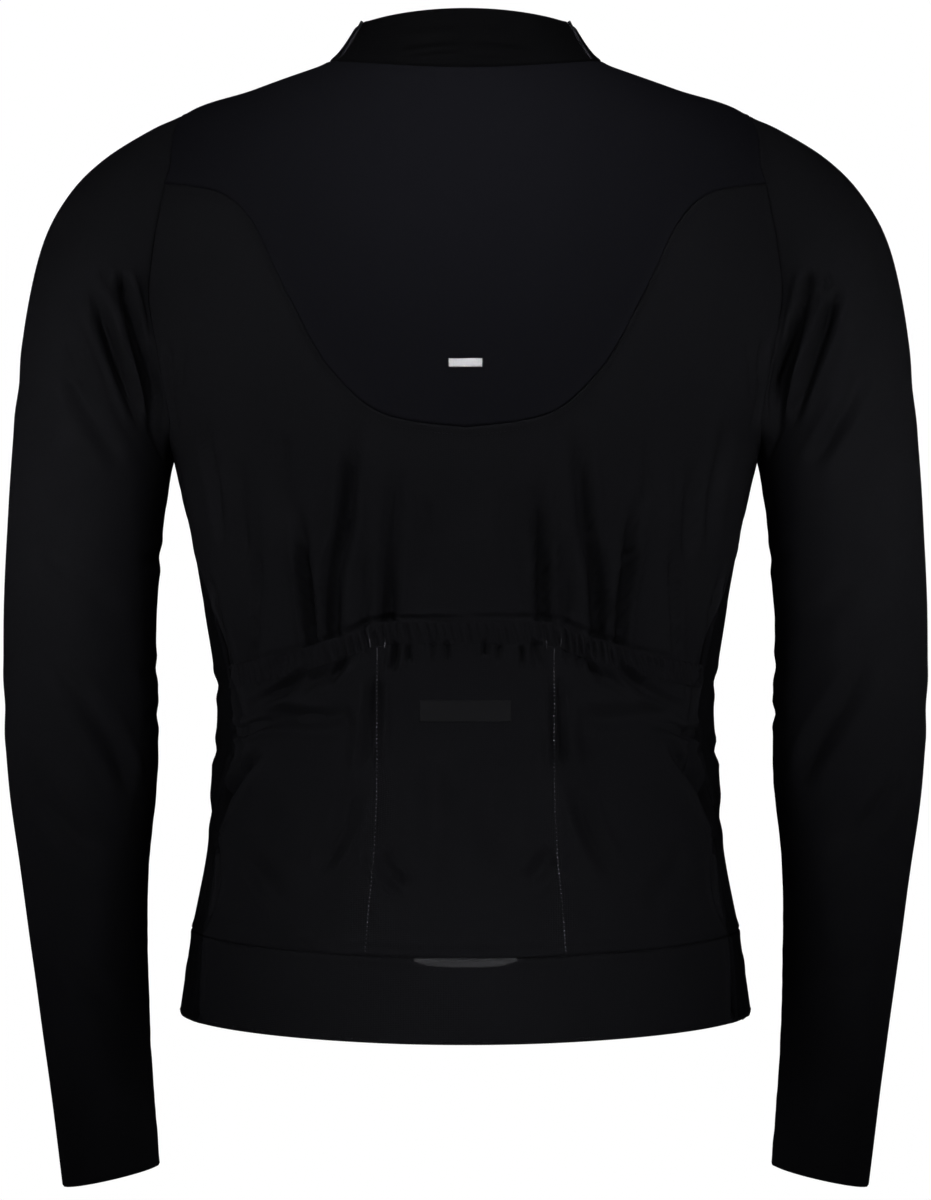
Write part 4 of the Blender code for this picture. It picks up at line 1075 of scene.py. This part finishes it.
@lru_cache(maxsize=None)
def finishes():
    """Every material of the jacket."""
    return {
        # Windproof laminate face, a close smooth knit with a cool violet cast
        "windproof_knit": knit("windproof_laminated_knit", ("2B2B31", "27272D"), 1.5, 1.1, 0.05,
                               roughness=0.8),
        # Brushed thermal jersey, whose raised nap drinks the light and looks matt
        "brushed_knit": knit("brushed_thermal_jersey", ("303034", "2B2B2F"), 1.5, 1.1, 0.09),
        # The brushed jersey's shades again on the fronts and the sides, at half its share: painted
        # shade, darker as if in the shadow that the sleeves cast there
        "front_knit_painted_shade": knit("sheared_front_jersey", ("303034", "2B2B2F"), 1.5, 1.1, 0.07,
                           share=FRONT_PAINTED_SHADE_SHARE),
        # Collar rib of denser jersey, the darkest and most matt of the cloths
        "collar_knit": knit("collar_jersey", ("202022", "1A1A1C"), 1.2, 1.0, 0.08),
        # Woven polyester zip tape, matt and slightly ribbed
        "zip_tape": knit("woven_zip_tape", ("26262A", "202024"), 0.9, 0.9, 0.06),
        # Retroreflective piping, a grey film of glass beads over a cord
        "pale_piping": plain("reflective_piping_film", dark("5A5A60", "404046"), 0.5, 0.02, 0.5),
        # Woven label, satin polyester with a flat face a little paler than the cloth
        "woven_label": plain("woven_satin_label", dark("3C3C3F", "343437"), 0.4, 0.03, 0.6),
        # Retroreflective film, an even grey with a beaded grain
        "reflective_film": plain("glass_bead_film", dark("6A6A6E", "5C5C60"), 0.5, 0.02, 0.5),
        # The same film printed thick, which throws back most of the light
        "bright_film": plain("thick_glass_bead_film", dark("D8D8DC", "C8C8CC", share=0.08),
                             0.5, 0.02, 0.5),
        # Moulded acetal teeth, dark with a soft gloss
        "zip_teeth": plain("moulded_acetal_teeth", dark("303034", "26262A"), 0.6, 0.01, 0.4,
                           gloss=0.004),
        # Zinc die casting under black enamel, smooth, with a fine grain between two shades
        "zip_metal": plain("black_enamelled_zinc", dark("505056", "38383C"), 1.2, 0.01, 0.3,
                           gloss=0.02),
        # Spun polyester sewing thread in a dark grey
        "thread": plain("spun_polyester_thread", dark("3A3A3E", "2E2E32"), 0.3, 0.02, 0.8),
        # The same thread in the paler grey that shows on the pockets
        "pale_thread": plain("pale_polyester_thread", dark("84828A", "706E76", share=0.055),
                             0.3, 0.02, 0.8),
    }


# ---- settings and operators

class JacketSizes(bpy.types.PropertyGroup):
    cell: FloatProperty(
        name="Cloth cell", description="Distance between the points of the cloth's mesh",
        default=2.85 * MM, min=1.5 * MM, max=12 * MM, unit="LENGTH")
    cloth_wall: FloatProperty(
        name="Cloth wall", description="Thickness of the body and sleeve cloth",
        default=1.5 * MM, unit="LENGTH")
    collar_wall: FloatProperty(
        name="Collar wall", description="Thickness of the doubled collar cloth",
        default=2.0 * MM, unit="LENGTH")
    seam_swell: FloatProperty(
        name="Seam swell", description="How far the cloth puffs up beside a seam",
        default=0.75 * MM, unit="LENGTH")
    stitch_pitch: FloatProperty(
        name="Stitch pitch", description="Distance from one stitch to the next",
        default=2.45 * MM, unit="LENGTH")
    teeth_pitch: FloatProperty(
        name="Teeth pitch", description="Distance from one zip tooth to the next on one side",
        default=2.0 * MM, unit="LENGTH")
    floor_drop: FloatProperty(
        name="Floor drop", description="Height of the studio floor below the origin",
        default=0.9, unit="LENGTH")
    floor_colour: FloatVectorProperty(
        name="Floor colour", description="Colour of the studio floor", subtype="COLOR",
        default=linear("F2F2F0"), size=3, min=0, max=1)


class JACKET_OT_body(bpy.types.Operator):
    """Adds the back panel, the yoke and both fronts"""
    bl_idname = "jacket.body"
    bl_label = "Add body cloth"

    def execute(self, context):
        add_cloths("brushed_knit", "back_panel")
        add_cloths("windproof_knit", "back_yoke")
        # The fronts take the half-share knit, which paints the sleeves' shadow on them as shade
        add_cloths("front_knit_painted_shade", "front_left", "front_right")
        return {"FINISHED"}


class JACKET_OT_hem(bpy.types.Operator):
    """Adds the wide hem round the bottom of the body"""
    bl_idname = "jacket.hem"
    bl_label = "Add hem"

    def execute(self, context):
        add_cloths("brushed_knit", "hem_back")
        # The front hems take the same knit with painted shade
        add_cloths("front_knit_painted_shade", "hem_left", "hem_right")
        return {"FINISHED"}


class JACKET_OT_pockets(bpy.types.Operator):
    """Adds the pocket strip and its gathered top hem"""
    bl_idname = "jacket.pockets"
    bl_label = "Add pockets"

    def execute(self, context):
        add_cloths("brushed_knit", "pocket_strip", "pocket_hem")
        return {"FINISHED"}


class JACKET_OT_sleeves(bpy.types.Operator):
    """Adds both sleeves"""
    bl_idname = "jacket.sleeves"
    bl_label = "Add sleeves"

    def execute(self, context):
        add_cloths("brushed_knit", "sleeve_left", "sleeve_right")
        return {"FINISHED"}


class JACKET_OT_collar(bpy.types.Operator):
    """Adds the stand collar and the piping in its side seams"""
    bl_idname = "jacket.collar"
    bl_label = "Add collar"

    def execute(self, context):
        add_cloths("collar_knit", "collar_back", "collar_left", "collar_right")
        self.add_piping("collar_piping_left", 1)
        self.add_piping("collar_piping_right", -1)
        return {"FINISHED"}

    def add_piping(self, node, side):
        """Piping round a cord in one of the collar's side seams."""
        marks = [(COLLAR_SEAM_DEG, level) for level in np.linspace(0.06, COLLAR_TOP - 0.01, 25)]
        seam = on_form(marks, COLLAR_RINGS)
        place = seam.points + seam.normals * PIPING_LIFT
        curve = bpy.data.curves.new(node + "_cord", "CURVE")
        curve.dimensions = "3D"
        curve.bevel_depth = PIPING_RADIUS
        curve.bevel_resolution = 3
        curve.use_fill_caps = True
        line = curve.splines.new("POLY")
        line.points.add(len(place) - 1)
        for point, (x, y, z) in zip(line.points, place):
            point.co = (side * x, y, z, 1)
        maker = bpy.data.objects.new(node + "_maker", curve)
        mesh = bpy.data.meshes.new_from_object(maker)
        bpy.data.objects.remove(maker)
        mesh.name = node + "_cord"
        mesh.shade_smooth()
        add_piece(mesh.name, mesh, "pale_piping", [node])


class JACKET_OT_trims(bpy.types.Operator):
    """Adds the label and the reflective bar and tab"""
    bl_idname = "jacket.trims"
    bl_label = "Add label and reflective trims"

    def execute(self, context):
        for trim in (LABEL, BAR):
            add_trim(trim, trim.top, lambda x: trim.size[1])
        seam = shaped("hem_back").points[-1, :, 2].min() / MM
        half, deepest = TAB.size[0] / 2, TAB.size[1]
        add_trim(TAB, seam + TAB.top,
                 lambda x: deepest * max(0.08, 1 - abs(x / half) ** 2.5) ** 0.4)
        return {"FINISHED"}


class JACKET_OT_zip(bpy.types.Operator):
    """Adds the zip's tapes and teeth, and finishes its slider, pull tab and stop"""
    bl_idname = "jacket.zip"
    bl_label = "Add zip"

    def execute(self, context):
        sizes = context.scene.jacket_sizes
        parts = [(BODY_RINGS, sizes.cloth_wall, np.linspace(0, NECK, round(0.56 / sizes.cell))[:-1]),
                 (COLLAR_RINGS, sizes.collar_wall, np.linspace(0, COLLAR_TOP, round(0.05 / sizes.cell)))]
        height = np.concatenate([np.full(len(up), -wall - LAYER_GAP) for _, wall, up in parts])
        self.add_tapes(parts, height)
        self.add_teeth(parts, height, sizes.teeth_pitch)
        for node in ("zip_slider", "zip_pull", "zip_stop"):
            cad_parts[node].material_slots[0].link = "OBJECT"
            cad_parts[node].material_slots[0].material = finishes()["zip_metal"]
        return {"FINISHED"}

    def add_tapes(self, parts, height):
        """Tapes that lie just inside the fronts and the collar."""
        points = np.concatenate([
            np.stack([surface(rings, np.column_stack((angle_for_x(x, up, rings), up)))
                      for x in TAPE_STEPS], axis=1) for rings, _, up in parts])
        points[:, :, 0] = TAPE_STEPS
        normals = grid_normals(points)
        skin = Skin(points + normals * height[:, None, None], normals)
        for side, tape in (("left", skin), ("right", flipped(skin))):
            name = f"zip_tape_{side}_weave"
            add_piece(name, grid_mesh(name, tape.points), "zip_tape", [f"zip_tape_{side}"],
                      TAPE_THICKNESS)

    def add_teeth(self, parts, height, pitch):
        """Teeth between the tapes, each half a pitch above the last one of the other side."""
        points = np.concatenate([surface(rings, np.column_stack((np.full(len(up), -90.0), up)))
                                 for rings, _, up in parts])
        points[:, 0] = 0
        out = np.cross(np.array((1.0, 0, 0)), unit(np.gradient(points, axis=0)))
        centre = points + out * (height + SEAM_GAP + TEETH_THICKNESS / 2)[:, None]
        walked = lengths(centre)
        levels = parts[0][2]
        start = np.interp(STOP_LEVELS, levels, walked[:len(levels)])
        bm = bmesh.new()
        across = Vector((1, 0, 0))
        for k in range(int((walked[-1] - start - TEETH_END_GAP) / (pitch / 2))):
            at = start + (k + 0.7) * pitch / 2
            place = Vector(at_length(at, walked, centre))
            outward = Vector(at_length(at, walked, out)).normalized()
            up = outward.cross(across).normalized()
            turn = Matrix((across * TOOTH_REACH, up * PITCH_FILL * pitch * 0.5,
                           outward * TEETH_THICKNESS * THICKNESS_FILL)).transposed()
            place = place + across * (1 if k % 2 else -1) * TOOTH_OFFSET
            bmesh.ops.create_cube(bm, size=1, matrix=Matrix.Translation(place) @ turn.to_4x4())
        bmesh.ops.bevel(bm, geom=bm.edges[:], offset=TOOTH_BEVEL, segments=1, profile=0.5,
                        affect="EDGES", material=-1)
        mesh = made(bm, "zip_teeth_row")
        mesh.set_sharp_from_angle(angle=math.radians(50))
        add_piece("zip_teeth_row", mesh, "zip_teeth", ["zip_teeth"])


class JACKET_OT_stitching(bpy.types.Operator):
    """Adds the stitches of the seams, the pocket dividers and the hems"""
    bl_idname = "jacket.stitching"
    bl_label = "Add stitching"

    def execute(self, context):
        pitch = context.scene.jacket_sizes.stitch_pitch / MM
        dividers, tacks = ([laid_on(["pocket_strip_cloth", "pocket_hem_cloth"],
                                    [(side * x, z) for x, z in line])
                            for side in (1, -1) for line in lines] for lines in ([DIVIDER], TACKS))
        add_stitches("pocket_divider_stitches", dividers, "pale_thread", pitch, length=1.15,
                     radius=0.3, proud=0.9)
        add_stitches("pocket_bartacks", tacks, "pale_thread", pitch=0.9, length=1.3, radius=0.22)
        for name, rows in (("back_seam_stitches", BACK_ROWS), ("hem_stitches", HEM_ROWS)):
            add_stitches(name, [beside(*row) for row in rows], "thread")
        return {"FINISHED"}


class JACKET_OT_cuts(bpy.types.Operator):
    """An empty step, which adds nothing and states no cuts"""
    bl_idname = "jacket.cuts"
    bl_label = "State flat cuts"

    def execute(self, context):
        return {"FINISHED"}


class JACKET_OT_studio(bpy.types.Operator):
    """Adds the floor, the lights and the camera"""
    bl_idname = "jacket.studio"
    bl_label = "Add studio"

    def execute(self, context):
        self.add_floor(context.scene.jacket_sizes)
        for light in LIGHTS:
            for side in ((1, -1) if light.place[0] else (1,)):
                self.add_light(light, side)
        self.add_sky(context.scene)
        context.scene.view_settings.view_transform = "Standard"
        lens = bpy.data.cameras.new("camera")
        lens.lens = CAMERA_LENS
        lens.sensor_width = CAMERA_SENSOR
        camera = bpy.data.objects.new("camera", lens)
        camera.location = CAMERA_PLACE
        camera.rotation_euler = (math.pi / 2, 0, math.pi)
        context.scene.collection.objects.link(camera)
        context.scene.camera = camera
        return {"FINISHED"}

    def add_sky(self, scene):
        """White all round and below, and dimmer overhead so that the shoulders fall away."""
        world = bpy.data.worlds.new("pale_studio")
        world.use_nodes = True
        tree = world.node_tree
        place = put(tree, "TexCoord").outputs["Generated"]
        height = put(tree, "SeparateXYZ", Vector=place).outputs["Z"]
        overhead = put(tree, "MapRange", Value=height, From_Min=0.2, From_Max=0.6, To_Min=1.0,
                       To_Max=0.1)
        tree.links.new(overhead.outputs[0], tree.nodes["Background"].inputs["Strength"])
        tree.nodes["Background"].inputs["Color"].default_value = (1, 1, 1, 1)
        scene.world = world

    def add_floor(self, sizes):
        """A pale round floor, for the picture only."""
        bm = bmesh.new()
        bmesh.ops.create_circle(bm, cap_ends=True, segments=96, radius=1.5,
                                matrix=Matrix.Translation((0, 0, -sizes.floor_drop)))
        mesh = made(bm, "studio_floor", smooth=False)
        pale = tuple(sizes.floor_colour)
        mesh.materials.append(plain("matt_painted_floor", (pale, tuple(0.97 * v for v in pale)),
                                    8.0, 0.1, 0.9))
        floor = bpy.data.objects.new("studio_floor", mesh)
        bpy.context.scene.collection.objects.link(floor)

    def add_light(self, light, side):
        """One soft round lamp, aimed at its target, on one side of the jacket."""
        lamp = bpy.data.lights.new(light.name, "AREA")
        lamp.shape = "DISK"
        lamp.size = light.size
        lamp.energy = light.power
        lamp.spread = math.radians(light.spread)
        turn = Vector((side, 1, 1))
        place, aim = Vector(light.place) * turn, Vector(light.aim) * turn
        lit = bpy.data.objects.new(light.name, lamp)
        lit.location = place
        lit.rotation_euler = (aim - place).to_track_quat("-Z", "Y").to_euler()
        bpy.context.scene.collection.objects.link(lit)


class JACKET_PT_panel(bpy.types.Panel):
    """Lists the jacket's settings and the steps that build it"""
    bl_label = "Cycling jacket"
    bl_idname = "JACKET_PT_panel"
    bl_space_type = "VIEW_3D"
    bl_region_type = "UI"
    bl_category = "Jacket"

    def draw(self, context):
        sizes = context.scene.jacket_sizes
        for key in sizes.__annotations__:
            self.layout.prop(sizes, key)
        for step in STEPS:
            self.layout.operator(step.bl_idname)


STEPS = (JACKET_OT_body, JACKET_OT_hem, JACKET_OT_pockets, JACKET_OT_sleeves, JACKET_OT_collar,
         JACKET_OT_trims, JACKET_OT_zip, JACKET_OT_stitching, JACKET_OT_cuts, JACKET_OT_studio)
CLASSES = (JacketSizes, *STEPS, JACKET_PT_panel)


def register():
    for cls in CLASSES:
        bpy.utils.register_class(cls)
    bpy.types.Scene.jacket_sizes = PointerProperty(type=JacketSizes)


def unregister():
    del bpy.types.Scene.jacket_sizes
    for cls in reversed(CLASSES):
        bpy.utils.unregister_class(cls)


def main():
    register()
    bpy.ops.jacket.body()
    bpy.ops.jacket.hem()
    bpy.ops.jacket.pockets()
    bpy.ops.jacket.sleeves()
    bpy.ops.jacket.collar()
    bpy.ops.jacket.trims()
    bpy.ops.jacket.zip()
    bpy.ops.jacket.stitching()
    bpy.ops.jacket.cuts()
    bpy.ops.jacket.studio()


if __name__ == "__main__":
    main()
